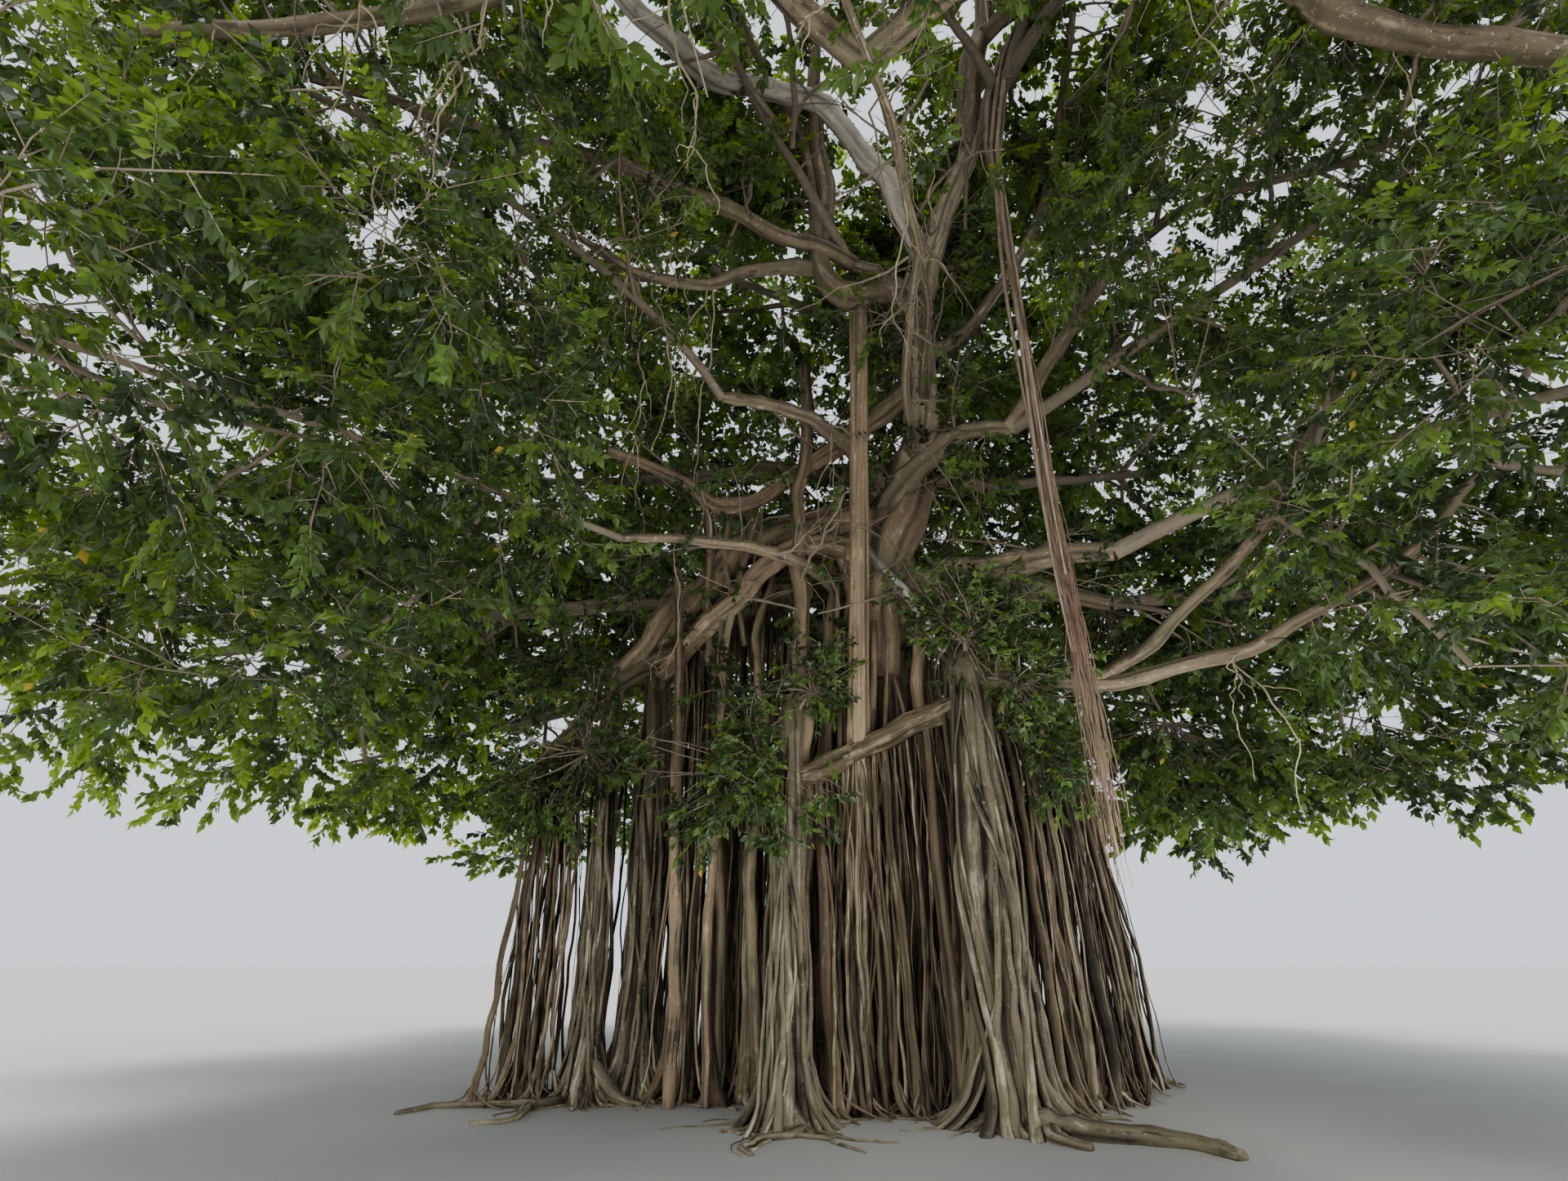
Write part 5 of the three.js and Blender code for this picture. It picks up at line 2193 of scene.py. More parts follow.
@dataclass
class Foliage:
    """Grows the twigs, sprays and leaves of the masses.

    Attributes:
        crown: The crown whose masses are filled.
        twigs: Twigs under way.
        spray_twigs: The sprays' twigs under way.
        leaves: Leaves under way.
        places: Twig ends in a mass by the rule of the solids, which make its main twigs.
        spread: Share of the half sizes that main twigs reach.
        fill: Share of the half sizes that finer twigs reach.
        side_share: How soon a side twig leaves for its places.
        side_limits: The least and most of that.
        side_girth: A side twig's girth as a share of its carrier's.
        twig_end: Radius of a finer twig's tip.
        main_end: Radius of a main twig's tip.
        sprays: How many sprays a finer twig has.
        proud: How far sprays may stand out of the box of the mass's solid.
        roundness: Power of the rounded box that they stay in; 2 is an ellipsoid.
        notches: Waves that notch its outline.
        near: How the masses closest to the viewer are grown.
        middle: How those at the sides and over the trunk are grown.
        far: How the others are grown: larger leaves, to keep their number down.
        near_masses: The masses that come closest to the viewer.
        far_masses: The masses furthest from the viewer.
        pale_clear: How far round the pale limbs the leaves before them give way.
        side_shares: For each side limb, the share of the leaves before it that give way.
        far_limbs: The side limbs that are seen only past their first third.
        bare_middle: Middle and half sizes of the space round the trunk where leaves thin out.
        sight: The viewer's sight of the main limbs.
    """

    crown: Crown
    twigs: Twigs = field(default_factory=Twigs)
    spray_twigs: Twigs = field(default_factory=Twigs)
    leaves: Leaves = field(default_factory=Leaves)
    places: int = 5
    spread: Point = (0.56, 0.56, 0.82)
    fill: float = 0.93
    side_share: float = 0.6
    side_limits: Pair = (0.08, 0.72)
    side_girth: float = 0.72
    twig_end: float = 0.007
    main_end: float = 0.03
    sprays: int = 7
    proud: float = 0.6
    roundness: float = 2.5
    notches: tuple[Point, ...] = (
        (1.9, 0.8, 1.1), (-0.9, 1.7, -1.4), (0.6, -1.5, 2.1)
    )
    near: Growth = Growth(0.78, LeafShape(0.146, 0.08, spray=0.56, leaves=20))
    middle: Growth = Growth(0.46, LeafShape(0.19, 0.12, spray=0.66, leaves=18))
    far: Growth = Growth(0.31, LeafShape(0.243, 0.153, spray=0.72, leaves=16))
    near_masses: tuple[str, ...] = (
        "front_low", "front_mid", "low_left_front", "low_right_front", "mid_left_front",
        "mid_right_front",
    )
    far_masses: tuple[str, ...] = (
        "low_left_back", "low_back_left", "low_back_right", "low_right_back", "mid_back_left",
        "mid_back_right", "top_back_left", "top_back_right",
    )
    pale_clear: float = 0.24
    side_shares: tuple[float, ...] = (
        0.8, 0.75, 0.65, 0.7, 0.85, 0.75, 0.55, 0.65, 0.95, 0.9, 0.8, 0.6
    )
    far_limbs: tuple[int, ...] = (8, 9)
    bare_middle: tuple[Point, Point] = ((0.0, -1.3, 5.5), (15.0, 14.5, 13.6))
    sight: Sight = Sight()

    def growth(self, mass: Mass) -> Growth:
        """How a mass is grown."""
        if mass.name in self.near_masses:
            return self.near
        return self.far if mass.name in self.far_masses else self.middle

    def twig_ends(self, mass: Mass, count: int) -> list[Array]:
        """The ends of a mass's main twigs: the outermost one, then an even spiral.

        Args:
            mass: The mass.
            count: How many are wanted.

        Returns:
            The ends, in the mass's space.
        """
        outward = math.atan2(mass.centre[1], mass.centre[0])
        reach = mass.half * np.array(self.spread)
        first = np.array([math.cos(outward), math.sin(outward), 0.0]) * reach + mass.centre
        turns = count
        while True:
            others = spiral(turns, outward) * reach + mass.centre
            others = others[self.crown.inside(mass, others)]
            if len(others) >= count - 1:
                return [first, *others]
            turns += 1

    def finer_ends(self, mass: Mass, rng: Random) -> Array:
        """The ends of the finer twigs: the same spiral at every depth of the space.

        Args:
            mass: The mass.
            rng: Source of small shifts.

        Returns:
            The ends, one in each row.
        """
        trial = rng.uniform(-1, 1, (4000, 3)) * mass.half + mass.centre
        share = float(np.mean(self.crown.inside(mass, trial)))
        wanted = int(self.growth(mass).finer * share * 8 * float(np.prod(mass.half)))
        turns = wanted
        while True:
            depth = self.fill * (0.12 + 0.88 * even_shares(turns)) ** 0.42
            ends = mass.centre + spiral(turns) * depth[:, None] * mass.half
            ends = ends + rng.normal(0, 0.12, ends.shape)
            ends = ends[self.crown.inside(mass, ends, self.fill + 0.02, 0.5)]
            ends = ends[self.reached(mass, ends, 0.15)]
            if len(ends) >= wanted:
                return ends
            turns += max(6, wanted - len(ends))

    def reached(self, mass: Mass, points: Array, proud: float) -> Array:
        """Whether points are where a mass's solid reaches, with its corners and notches rounded.

        Args:
            mass: The mass.
            points: The points, one in each row.
            proud: How far they may stand out of the solid's box.

        Returns:
            True for each point that is.
        """
        lowest, highest = (np.array(corner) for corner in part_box(f"crown_{mass.name}"))
        off = (points - (lowest + highest) / 2) / ((highest - lowest) / 2 + proud)
        return np.sum(np.abs(off) ** self.roundness, axis=1) < 0.88 + 0.04 * self.waves(points)

    def waves(self, points: Array) -> Array:
        """Slow waves through the crown, from -3 to 3."""
        return sum(np.sin(points @ np.array(way)) for way in self.notches)

    def main_twigs(
        self, start: Array, ends: Sequence[Array], girth: float
    ) -> list[tuple[Array, Array, float]]:
        """Main twigs by the rule of the solids: one to the furthest end, the others off it.

        Args:
            start: Where the twig leaves its carrier.
            ends: The ends that it and its side twigs run to.
            girth: Its radius at the start.

        Returns:
            Start, end and girth of each twig.
        """
        tip, groups = parted(start, ends)
        made = [(start, tip, girth)]
        span = tip - start
        for group in groups:
            ahead = (np.mean(group, axis=0) - start) @ span / (span @ span)
            share = float(np.clip(ahead * self.side_share, *self.side_limits))
            thick = girth + (self.main_end - girth) * share
            made += self.main_twigs(start + span * share, group, self.side_girth * thick)
        return made

    def grow_finer(
        self, start: Array, heading: Array, ends: Sequence[Array], girth: float, rng: Random
    ) -> list[Array]:
        """Finer twigs by the same rule, each bent a little on its way.

        Args:
            start: Where the twig leaves its carrier.
            heading: The way that its carrier runs there.
            ends: The ends that it and its side twigs run to.
            girth: Its radius at the start.
            rng: Source of its bends.

        Returns:
            The twigs' paths.
        """
        tip, groups = parted(start, ends)
        span = tip - start
        length = float(np.linalg.norm(span))
        bow = heading * 0.16 * length + rng.normal(0, 0.07, 3) * length + UP * 0.05 * length
        path = bowed(start, tip, bow, 5)
        thick = girth + (self.twig_end - girth) * np.linspace(0, 1, len(path)) ** 0.8
        self.twigs.add(path, thick, 5 if girth > 0.03 else 3)
        made = [path]
        for group in groups:
            ahead = (np.mean(group, axis=0) - start) @ span / max(span @ span, 1e-6)
            share = float(np.clip(ahead * self.side_share, *self.side_limits))
            here = along_path(path, share)
            side = girth + (self.twig_end - girth) * share**0.8
            size = side * min(self.side_girth, 0.35 + 0.4 * (len(group) / len(ends)) ** 0.5)
            made += self.grow_finer(here, unit(span), group, max(size, self.twig_end), rng)
        return made

    def fill_mass(self, mass: Mass, index: int) -> None:
        """Fills one mass with twigs, sprays and leaves.

        Args:
            mass: The mass.
            index: Its number, which seeds it.
        """
        rng = np.random.default_rng(500 + index)
        start = mass.path[-1]
        girth = mass.girth[1] * self.crown.slimness(mass)
        mains = self.main_twigs(start, self.twig_ends(mass, self.places), girth)
        paths = []
        for first, last, girth in mains:
            length = float(np.linalg.norm(last - first))
            bow = rng.normal(0, 0.1, 3) * length
            path = meander(bowed(first, last, bow, 17), 0.12, rng)
            thick = girth + (self.main_end - girth) * np.linspace(0, 1, 17)
            self.twigs.add(path, thick, 8)
            paths.append((path, thick))
        for path, thick in SIDE_LIMBS.paths() + SMOOTH_LIMBS.paths():
            held = self.crown.inside(mass, path)
            if np.count_nonzero(held) > 3:
                paths.append((path[held], thick[held]))
        ends = self.finer_ends(mass, rng)
        carriers = np.concatenate([path for path, _ in paths])
        thickness = np.concatenate([thick for _, thick in paths])
        which = np.repeat(np.arange(len(paths)), [len(path) for path, _ in paths])
        away = np.linalg.norm(ends[:, None] - carriers[None], axis=2)
        from_stem = np.linalg.norm(carriers - start, axis=1)
        nearest = np.argmin(away + 0.25 * from_stem[None], axis=1)
        made = []
        for joint in np.unique(nearest // 3):
            chosen = np.flatnonzero(nearest // 3 == joint)
            at = int(nearest[chosen[0]])
            path = paths[which[at]][0]
            heading = unit(path[-1] - path[0])
            girth = min(0.6 * thickness[at], 0.02 + 0.006 * len(chosen))
            made += self.grow_finer(carriers[at], heading, list(ends[chosen]), girth, rng)
        self.clothe(mass, np.stack(made), rng)

    def clothe(self, mass: Mass, paths: Array, rng: Random) -> None:
        """Sets sprays along twigs, and leaves on the sprays.

        Args:
            mass: The mass that they stay in.
            paths: The finer twigs' paths.
            rng: Source of the sprays' turns and tints.
        """
        count = len(paths)
        share = 1 - 0.55 * (np.arange(self.sprays) / self.sprays) ** 1.1
        place = share * (paths.shape[1] - 1)
        first = np.minimum(place.astype(int), paths.shape[1] - 2)
        part = (place - first)[None, :, None]
        starts = paths[:, first] * (1 - part) + paths[:, first + 1] * part
        forward = unit(paths[:, first + 1] - paths[:, first])
        level = unit(np.cross(forward, UP))
        over = np.cross(level, forward)
        turn = np.arange(self.sprays) * GOLDEN_ANGLE + rng.random((count, 1)) * 6.3
        open_by = np.radians(rng.normal(56, 12, (count, self.sprays)))
        open_by[:, 0] *= 0.2
        around = np.cos(turn)[..., None] * level + 0.75 * np.sin(turn)[..., None] * over
        directions = np.cos(open_by)[..., None] * forward + np.sin(open_by)[..., None] * around
        directions[..., 2] -= 0.12
        starts = starts.reshape(-1, 3)
        directions = unit(directions.reshape(-1, 3))
        shape = self.growth(mass).shape
        lengths = shape.spray * rng.uniform(0.75, 1.25, len(starts))
        tips = starts + directions * (lengths + shape.length * 0.8)[:, None]
        over = 0.85 + 0.2 * self.waves(tips)
        keep = self.crown.inside(mass, tips, over=over) & self.reached(mass, tips, self.proud)
        keep &= self.leafy(starts, rng)
        keep &= self.sight.clear(starts + directions * 0.5 * lengths[:, None], self.shown(), rng)
        keep &= np.linalg.norm(tips - np.array(self.sight.eye), axis=1) > self.sight.nearest
        self.set_leaves(starts[keep], directions[keep], lengths[keep], shape, rng)

    def shown(self) -> list[tuple[Array, Array, float]]:
        """The limbs that the viewer sees through gaps in the leaves.

        Returns:
            Axis and radius of each, and the share of the leaves before it that give way.
        """
        side = [(*limb, share) for limb, share in zip(SIDE_LIMBS.paths(), self.side_shares)]
        for index in self.far_limbs:
            path, girth, share = side[index]
            side[index] = (path[len(path) // 3:], girth, share)
        pale = [(path, girth + self.pale_clear, 0.97) for path, girth in SMOOTH_LIMBS.paths()]
        leader = [(self.crown.leader, np.array(self.crown.leader_girth), 0.8)]
        hanging = [(path, np.array([0.03, 0.02]), 0.75) for path in HangingTwigs().near_paths()]
        tangle = [(*limb, 0.8) for limb in TANGLE.paths()[:6]]
        poles = [(prop.axis(self.crown), np.array(prop.girth), 0.75) for prop in PROPS]
        heads = [
            (pillar.axis(np.linspace(3.0, pillar.head[2] + 0.2, 12)), np.array([0.3, 0.34]), 0.85)
            for pillar in PILLARS[:2]
        ]
        above = [(self.sight.window((0.02, 0.72), (0.5, 0.7), 12.0), np.array([1.2, 1.2]), 0.85)]
        return side + pale + leader + hanging + tangle + poles + heads + above

    def leafy(self, points: Array, rng: Random) -> Array:
        """Whether a spray grows at each point: leaves thin out towards the crown's middle.

        Args:
            points: The points, one in each row.
            rng: Source of chance.

        Returns:
            True for each point where one grows.
        """
        middle, half = np.array(self.bare_middle)
        outer = np.linalg.norm((points - middle) / half, axis=1)
        return rng.random(len(points)) < np.clip((outer - 0.08) / 0.36, 0.2, 1.0)

    def set_leaves(
        self,
        starts: Array,
        directions: Array,
        lengths: Array,
        shape: LeafShape,
        rng: Random,
    ) -> None:
        """Makes the sprays' twigs and leaves, tinted spray by spray.

        Args:
            starts: Where each spray starts.
            directions: The way that each runs.
            lengths: Each one's length.
            shape: The leaf.
            rng: Source of the leaves' turns.
        """
        ends = starts + directions * lengths[:, None]
        for start, end in zip(starts, ends):
            self.spray_twigs.add(np.stack([start, end]), np.array([0.0065, 0.003]), 3)
        number = np.arange(shape.leaves)
        share = 0.2 + 0.8 * (number / (shape.leaves - 1)) ** 0.85
        sides = np.where(number % 2, 1.0, -1.0)
        sides[-1] = 0.0
        roots = starts[:, None] + directions[:, None] * (lengths[:, None] * share)[..., None]
        level = unit(np.cross(directions, UP))[:, None]
        aside = math.radians(shape.aside)
        jitter = rng.normal(0, 0.36, roots.shape)
        along = (
            directions[:, None] * np.where(sides == 0, 1.0, math.cos(aside))[None, :, None]
            + level * (sides * math.sin(aside))[None, :, None]
            + jitter
        )
        along[..., 2] -= 0.4
        along = unit(along)
        facing = unit(UP + rng.normal(0, 0.8, roots.shape))
        scale = rng.uniform(0.7, 1.15, roots.shape[:2])
        tints = np.repeat(self.tints(starts, rng)[:, None], shape.leaves, axis=1)
        yellow = list(Green).index(Green.YELLOW)
        tints[:, :-1][tints[:, :-1] == yellow] = list(Green).index(Green.MIDDLE)
        for tint_index, tint in enumerate(Green):
            chosen = tints == tint_index
            if chosen.any():
                corners = shape.corners(roots[chosen], along[chosen], facing[chosen], scale[chosen])
                self.leaves.add(tint, corners)

    def tints(self, points: Array, rng: Random) -> Array:
        """Deals tints out by spray: paler greens higher up, and paler greens low on the viewer's
        left as painted sunlight.

        Args:
            points: Where the sprays are.
            rng: Source of chance.

        Returns:
            The number of each spray's tint.
        """
        height = np.clip((points[:, 2] - 4) / 14, 0, 1)
        drawn = rng.random(len(points)) * 0.75 + height * 0.2
        # Painted sunlight: sprays low on the viewer's left are drawn towards the paler greens.
        left = np.clip((-points[:, 0] - 5.5) / 5, 0, 1) * np.clip((9.0 - points[:, 2]) / 3, 0, 1)
        drawn += 0.32 * left
        tints = np.digitize(drawn, [0.24, 0.52, 0.84])
        tints[rng.random(len(points)) < 0.02] = list(Green).index(Green.YELLOW)
        return tints

    def build(self) -> None:
        """Fills every mass and makes the pieces of twigs and leaves."""
        for index, mass in enumerate(self.crown.masses):
            self.fill_mass(mass, index)
        nodes = [f"crown_{mass.name}" for mass in self.crown.masses]
        place_piece("crown_twigs", self.twigs.mesh("crown_twigs"), TWIG_BARK, nodes)
        sprays = self.spray_twigs.mesh("crown_spray_twigs")
        place_piece("crown_spray_twigs", sprays, TWIG_BARK, nodes)
        self.leaves.build("crown_leaves", nodes)


def parted(start: Array, ends: Sequence[Array]) -> tuple[Array, list[list[Array]]]:
    """Parts a twig's ends into its own and those of its side twigs.

    Args:
        start: Where the twig starts.
        ends: The ends.

    Returns:
        The furthest end, and the others in groups, split across their longest side.
    """
    tip, *others = sorted(ends, key=lambda end: -np.linalg.norm(end - start))
    if len(others) <= 2:
        return tip, [[end] for end in others]
    stack = np.stack(others)
    axis = int(np.argmax(stack.max(axis=0) - stack.min(axis=0)))
    others.sort(key=lambda end: end[axis])
    middle = math.ceil(len(others) / 2)
    return tip, [others[:middle], others[middle:]]


@dataclass(frozen=True)
class Shoots:
    """Small leafy branches that sprout from the limbs round the trunk.

    Attributes:
        count: How many there are.
        length: The least and the greatest length.
        girth: The least and the greatest radius.
        twigs: How many twigs each has.
        lowest: Height of the lowest.
        leaf: Their leaf.
    """

    count: int = 255
    length: Pair = (0.7, 2.3)
    girth: Pair = (0.014, 0.042)
    twigs: int = 5
    lowest: float = 6.0
    leaf: LeafShape = LeafShape(0.15, 0.098, spray=0.5, leaves=15)

    def build(self, crown: Crown) -> None:
        """Makes the pieces.

        Args:
            crown: The crown whose boughs they sprout from.
        """
        rng = np.random.default_rng(63)
        wood, leaves = Twigs(), Leaves()
        grown = Foliage(crown, twigs=wood, spray_twigs=wood, leaves=leaves)
        carriers = [evenly(mass.path, 40)[4:34] for mass in crown.masses]
        carriers += [crown.leader] * 4 + [path for path, _ in TANGLE.paths()[:4]]
        starts, ways = [], []
        for index in range(self.count):
            carrier = carriers[index % len(carriers)]
            start = along_path(carrier, rng.uniform(0.0, 1.0))
            if start[2] < self.lowest:
                continue
            way = unit(unit(rng.normal(0, 1, 3)) + 0.25 * UP)
            length = rng.uniform(*self.length)
            path = bowed(start, start + way * length, rng.normal(0, 0.12, 3) * length, 7)
            path = kinked(path, 0.04, 0.3, rng)
            size = rng.uniform(*self.girth)
            wood.add(path, np.linspace(size, size * 0.35, 7), 4)
            for _ in range(self.twigs):
                fork = along_path(path, rng.uniform(0.25, 1.0))
                aside = unit(way + rng.normal(0, 0.75, 3)) * rng.uniform(0.25, 0.8)
                twig = bowed(fork, fork + aside, rng.normal(0, 0.08, 3), 4)
                wood.add(twig, np.linspace(size * 0.45, 0.004, 4), 3)
                for share in (0.55, 1.0):
                    starts.append(along_path(twig, share))
                    ways.append(unit(aside + rng.normal(0, 0.25, 3)))
        starts, ways = np.stack(starts), np.stack(ways)
        lengths = self.leaf.spray * rng.uniform(0.7, 1.25, len(starts))
        keep = grown.sight.clear(starts + ways * 0.5 * lengths[:, None], grown.shown(), rng)
        keep &= rng.random(len(starts)) < 0.8
        grown.set_leaves(starts[keep], ways[keep], lengths[keep], self.leaf, rng)
        nodes = [f"bough_{mass.name}" for mass in crown.masses]
        place_piece("inner_shoots", wood.mesh("inner_shoots"), TWIG_BARK, nodes)
        leaves.build("inner_leaves", nodes)


HEART_LEAF = LeafShape(0.2, 0.13, spray=0.66, leaves=16)
INNER_LEAF = LeafShape(0.19, 0.12, spray=0.66, leaves=16)


@dataclass(frozen=True)
class Clump:
    """A leafy clump that sprouts from the wood.

    Attributes:
        name: The piece's first word.
        centre: The middle of its space.
        half: Its half sizes.
        stem: Where its stem leaves the wood.
        nodes: The solids that it stands for or grows on.
        sprays: How many sprays it may have, before its gaps.
        gaps: How much of it is open, from -3 for none of it to 3 for all.
        yields: Share of its leaves in front of the limbs that stay in sight which give way.
        leaf: Its leaf.
    """

    name: str
    centre: Point
    half: Point
    stem: Point
    nodes: tuple[str, ...]
    sprays: int = 480
    gaps: float = -0.25
    yields: float = 0.6
    leaf: LeafShape = LeafShape(0.125, 0.072, spray=0.3, leaves=9)

    def build(self) -> None:
        """Makes the clump's twigs and leaves."""
        rng = np.random.default_rng(sum(map(ord, self.name)))
        centre, half, stem = np.array(self.centre), np.array(self.half), np.array(self.stem)
        twigs, leaves = Twigs(), Leaves()
        inner = Foliage(CROWN, twigs=twigs, spray_twigs=twigs, leaves=leaves)
        depth = (0.06 + 0.9 * even_shares(self.sprays)) ** 0.45
        offset = spiral(self.sprays)
        lumps = 1 + 0.3 * np.sin(offset @ np.array([5.1, 3.3, 4.2]) + len(self.name))
        ends = centre + offset * (depth * lumps)[:, None] * half * 0.9
        waves = sum(np.sin(ends @ way) for way in 4.5 * unit(rng.normal(0, 1, (3, 3))))
        ends = ends[waves > self.gaps]
        hub = centre + (stem - centre) * 0.35
        twigs.add(bowed(stem, hub, 0.08 * UP, 6), np.linspace(0.04, 0.025, 6), 5)
        for end in ends[::4]:
            twigs.add(bowed(hub, end, rng.normal(0, 0.14, 3), 6), np.linspace(0.015, 0.005, 6), 3)
        outward = unit(unit(ends - hub) + rng.normal(0, 0.7, ends.shape) - 0.25 * UP)
        lengths = self.leaf.spray * rng.uniform(0.6, 1.4, len(ends))
        seen = [(path, girth, self.yields) for path, girth, _ in inner.shown()]
        keep = inner.sight.clear(ends, seen, rng)
        starts = ends - outward * 0.12
        inner.set_leaves(starts[keep], outward[keep], lengths[keep], self.leaf, rng)
        place_piece(f"{self.name}_twigs", twigs.mesh(f"{self.name}_twigs"), TWIG_BARK, self.nodes)
        leaves.build(f"{self.name}_leaves", self.nodes)


CLUMPS = (
    Clump("clump_left", (-4.25, -2.2, 4.6), (1.4, 0.9, 1.4), (-3.97, -1.5, 4.7),
          ("clump_left",), 640, 0.0),
    Clump("clump_front", (-1.8, -3.3, 3.95), (1.45, 0.8, 1.3), (-1.09, -3.05, 4.3),
          ("clump_front",), 760, -0.3, 0.0),
    Clump("clump_right", (1.5, -3.45, 6.25), (1.35, 0.9, 1.0), (1.56, -2.9, 5.6),
          ("clump_right",), 580, -0.1, 0.3),
    Clump("tuft_high_left", (-3.6, -2.0, 8.2), (1.0, 0.7, 0.9), (-3.1, -1.6, 8.0), ("trunk",),
          260, 0.2),
    Clump("tuft_outer_left", (-4.8, -1.9, 6.2), (1.15, 0.8, 0.95), (-3.98, -1.5, 6.0),
          ("pillar_left_outer",), 300, 0.1),
    Clump("tuft_low_left", (-5.0, -1.95, 3.95), (0.75, 0.5, 0.7), (-4.9, -1.75, 4.3),
          ("curtain_left",), 200),
    Clump("tuft_middle", (-0.4, -2.6, 7.9), (0.55, 0.4, 0.5), (-0.5, -2.0, 7.8), ("trunk",), 110),
    Clump("tuft_front_high", (-0.6, -2.9, 5.45), (0.85, 0.5, 0.75), (-1.0, -2.95, 4.9),
          ("pillar_front",), 250),
    Clump("tuft_right", (2.5, -3.1, 5.3), (0.9, 0.6, 0.95), (1.7, -2.9, 5.5), ("pillar_right",),
          280),
    Clump("crown_heart", (1.9, -1.0, 16.6), (2.6, 2.3, 1.9), (1.85, -3.3, 14.6),
          ("crown_top_front_right", "crown_top_back_right"), 840, -1.2, 0.6,
          HEART_LEAF),
    Clump("crown_top_saddle_left", (-2.1, -3.4, 16.4), (1.9, 1.6, 1.7), (-0.5, -3.6, 14.6),
          ("crown_top_front_left",), 330, -1.0, 0.6,
          HEART_LEAF),
    Clump("crown_top_saddle_right", (4.3, -3.6, 16.3), (1.7, 1.7, 1.7), (2.6, -4.3, 15.6),
          ("crown_top_front_right",), 330, -1.0, 0.6,
          HEART_LEAF),
    Clump("crown_low_inner_left", (-5.7, 1.2, 8.1), (2.4, 1.9, 1.6), (-4.4, 0.4, 8.6),
          ("crown_low_left",), 440, -1.2, 0.3,
          INNER_LEAF),
    Clump("crown_low_inner_right", (5.9, 1.2, 8.0), (2.4, 1.9, 1.6), (4.6, -0.6, 8.4),
          ("crown_low_right",), 440, -1.2, 0.3,
          INNER_LEAF),
    Clump("crown_low_edge_right", (6.3, 0.4, 5.1), (2.4, 1.7, 1.3), (5.0, -0.9, 6.6),
          ("crown_low_right",), 330, -1.0, 0.3,
          INNER_LEAF),
    Clump("tuft_low_right", (2.85, -2.7, 4.35), (0.6, 0.5, 0.75), (2.6, -2.1, 5.0),
          ("curtain_right",), 150),
)


# Stage


class Lit(Enum):
    """What a lamp lights."""

    TREE = "lit_tree"
    CROWN = "lit_crown"
    LIMBS = "lit_limbs"


@dataclass(frozen=True)
class Lamp:
    """A soft light beside or under the tree, which lights the tree alone.

    Attributes:
        bearing: Where it stands.
        strength: Its power.
        reach: How far off the trunk it stands.
        height: How high.
        tilt: How far it is turned up from pointing straight down, in degrees.
        size: Its width and height.
        lights: What it lights: all, what is above the root wall, or the limbs there.
    """

    bearing: float
    strength: float
    reach: float = 27.0
    height: float = 3.0
    tilt: float = 108.0
    size: Pair = (20.0, 6.0)
    lights: Lit = Lit.TREE

    def place(self, lit: bpy.types.Collection) -> None:
        """Makes the light.

        Args:
            lit: The pieces that it lights.
        """
        data = bpy.data.lights.new("soft_lamp", "AREA")
        data.shape = "RECTANGLE"
        data.size, data.size_y = self.size
        data.energy = self.strength
        lamp = bpy.data.objects.new("soft_lamp", data)
        lamp.location = at_bearing(self.bearing, self.reach, self.height)
        turn = math.radians(self.bearing + 90)
        lamp.rotation_euler = (math.radians(self.tilt), 0.0, turn)
        lamp.visible_camera = False
        lamp.light_linking.receiver_collection = lit
        bpy.context.scene.collection.objects.link(lamp)


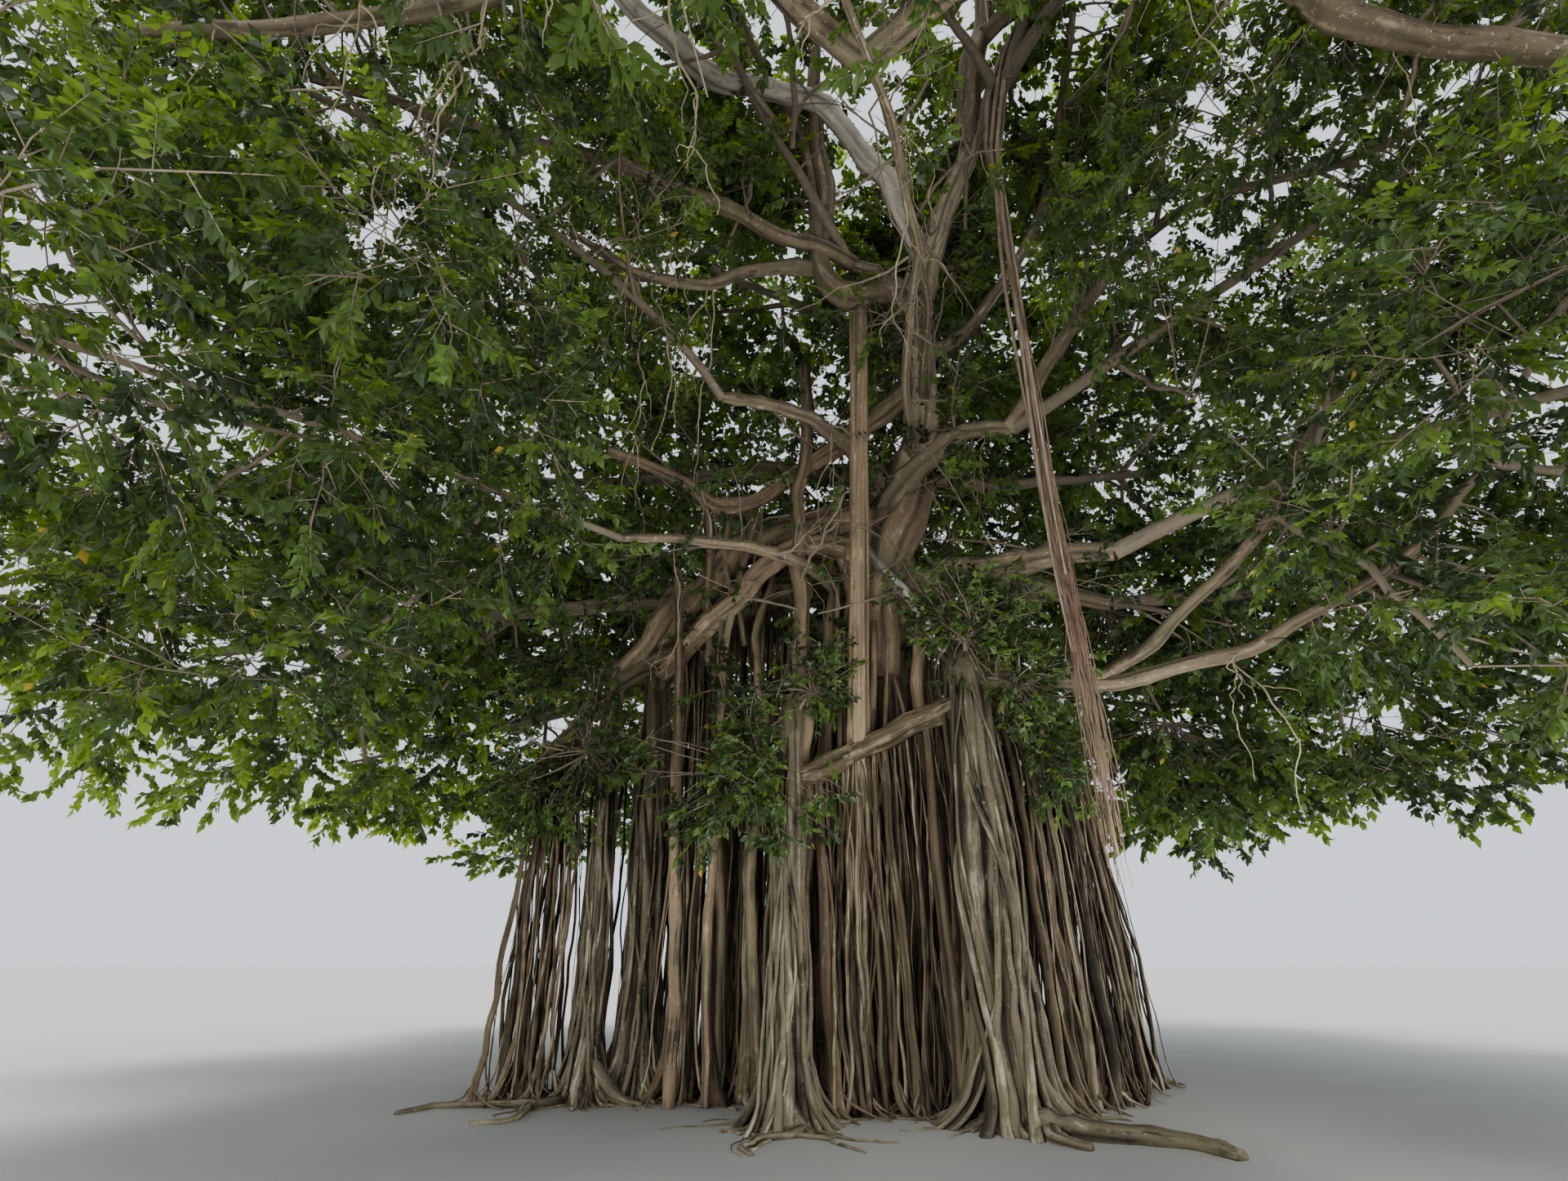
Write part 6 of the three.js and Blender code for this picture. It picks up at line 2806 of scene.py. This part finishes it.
@dataclass(frozen=True)
class Stage:
    """The pale floor, the soft light and the camera.

    The camera has the photograph's field of view, from its focal length and width in pixels. The
    sun's width in the sky softens its shadows.
    """

    focal_pixels: float = 950.0
    photo_width: float = 1920.0
    sensor: float = 36.0
    far_end: float = 600.0
    floor_half: float = 260.0
    floor_tints: tuple[Colour, Colour] = ((0.46, 0.45, 0.435), (0.54, 0.53, 0.51))
    sky: Colour = (0.86, 0.92, 1.0)
    sky_strength: float = 1.3
    sun: Colour = (1.0, 0.97, 0.9)
    sun_strength: float = 3.6
    sun_width: float = 25.0
    sun_turn: Pair = (28.0, -14.0)
    lamps: tuple[Lamp, ...] = (
        Lamp(-128.0, 2900.0),
        Lamp(-38.0, 4500.0),
        Lamp(40.0, 4200.0),
        Lamp(130.0, 4200.0),
        Lamp(-115.0, 2300.0, 12.0, 0.3, 150.0, (12.0, 8.0), Lit.LIMBS),
        Lamp(-50.0, 2200.0, 12.0, 0.3, 150.0, (12.0, 8.0), Lit.LIMBS),
        Lamp(90.0, 1900.0, 12.0, 0.3, 150.0, (12.0, 8.0), Lit.LIMBS),
        Lamp(-75.0, 1100.0, 6.0, 0.3, 168.0, (6.0, 6.0), Lit.CROWN),
        Lamp(100.0, 1100.0, 6.0, 0.3, 168.0, (6.0, 6.0), Lit.CROWN),
    )
    wall: tuple[str, ...] = ("pillar_", "curtain_")

    def build(self) -> None:
        """Makes the floor, the lights and the camera."""
        self.build_floor()
        self.build_light()
        self.build_lamps()
        self.build_camera()

    def build_floor(self) -> None:
        """Lays a pale floor under the tree."""
        grid = bmesh.new()
        bmesh.ops.create_grid(grid, x_segments=8, y_segments=8, size=self.floor_half)
        mesh = bpy.data.meshes.new("floor")
        grid.to_mesh(mesh)
        grid.free()
        floor = bpy.data.objects.new("floor", mesh)
        bpy.context.scene.collection.objects.link(floor)
        shader = Shader("floor_pale")
        cloud = shader.noise(shader.coordinates(), 0.35, 4.0, 0.55)
        sockets = {"Base Color": shader.mix(cloud, *self.floor_tints), "Roughness": 0.95}
        mesh.materials.append(
            shader.surface(shader.node("ShaderNodeBsdfPrincipled", {}, sockets))
        )

    def build_lamps(self) -> None:
        """Sets soft lights round the tree, and on it alone, so that its underside shows."""
        sets = {kind: bpy.data.collections.new(kind.value) for kind in Lit}
        for piece in bpy.context.scene.objects:
            if piece.type != "MESH" or piece.name == "floor":
                continue
            sets[Lit.TREE].objects.link(piece)
            if not piece.name.startswith(self.wall):
                sets[Lit.CROWN].objects.link(piece)
                if "_leaves_" not in piece.name:
                    sets[Lit.LIMBS].objects.link(piece)
        for lamp in self.lamps:
            lamp.place(sets[lamp.lights])

    def build_light(self) -> None:
        """Sets a bright even sky and a soft high sun."""
        world = bpy.data.worlds.new("pale_sky")
        bpy.context.scene.world = world
        world.use_nodes = True
        sky = world.node_tree.nodes["Background"]
        sky.inputs["Color"].default_value = (*self.sky, 1.0)
        sky.inputs["Strength"].default_value = self.sky_strength
        sun = bpy.data.objects.new("sun", bpy.data.lights.new("sun", "SUN"))
        sun.data.energy = self.sun_strength
        sun.data.angle = math.radians(self.sun_width)
        sun.data.color = self.sun
        sun.rotation_euler = (*np.radians(self.sun_turn), 0.0)
        bpy.context.scene.collection.objects.link(sun)

    def build_camera(self) -> None:
        """Places the camera at the viewer's eye."""
        data = bpy.data.cameras.new("eye")
        data.sensor_width = self.sensor
        data.lens = self.sensor * self.focal_pixels / self.photo_width
        data.clip_end = self.far_end
        camera = bpy.data.objects.new("eye", data)
        camera.location = EYE
        camera.rotation_euler = (math.radians(90 + VIEW_TILT), 0.0, 0.0)
        bpy.context.scene.collection.objects.link(camera)
        bpy.context.scene.camera = camera


TRUNK = Trunk()
CROWN = Crown(TRUNK)


def main() -> None:
    """Builds the tree and its stage."""
    logging.basicConfig(level=logging.INFO, format="%(name)s %(message)s", force=True)
    TRUNK.build()
    CROWN.build_boughs()
    for limbs in (TANGLE, SMOOTH_LIMBS, SIDE_LIMBS):
        limbs.build()
    InnerRoots().build(TRUNK)
    HangingTwigs().build(CROWN)
    Shoots().build(CROWN)
    for index, pillar in enumerate(PILLARS):
        pillar.build(TRUNK, 40 + index)
    for index, prop in enumerate(PROPS):
        prop.build(CROWN, 70 + index)
    for index, curtain in enumerate(CURTAINS):
        curtain.build(80 + index)
    Bundle().build()
    Foliage(CROWN).build()
    for clump in CLUMPS:
        clump.build()
    Stage().build()
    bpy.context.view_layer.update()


if __name__ == "__main__":
    main()
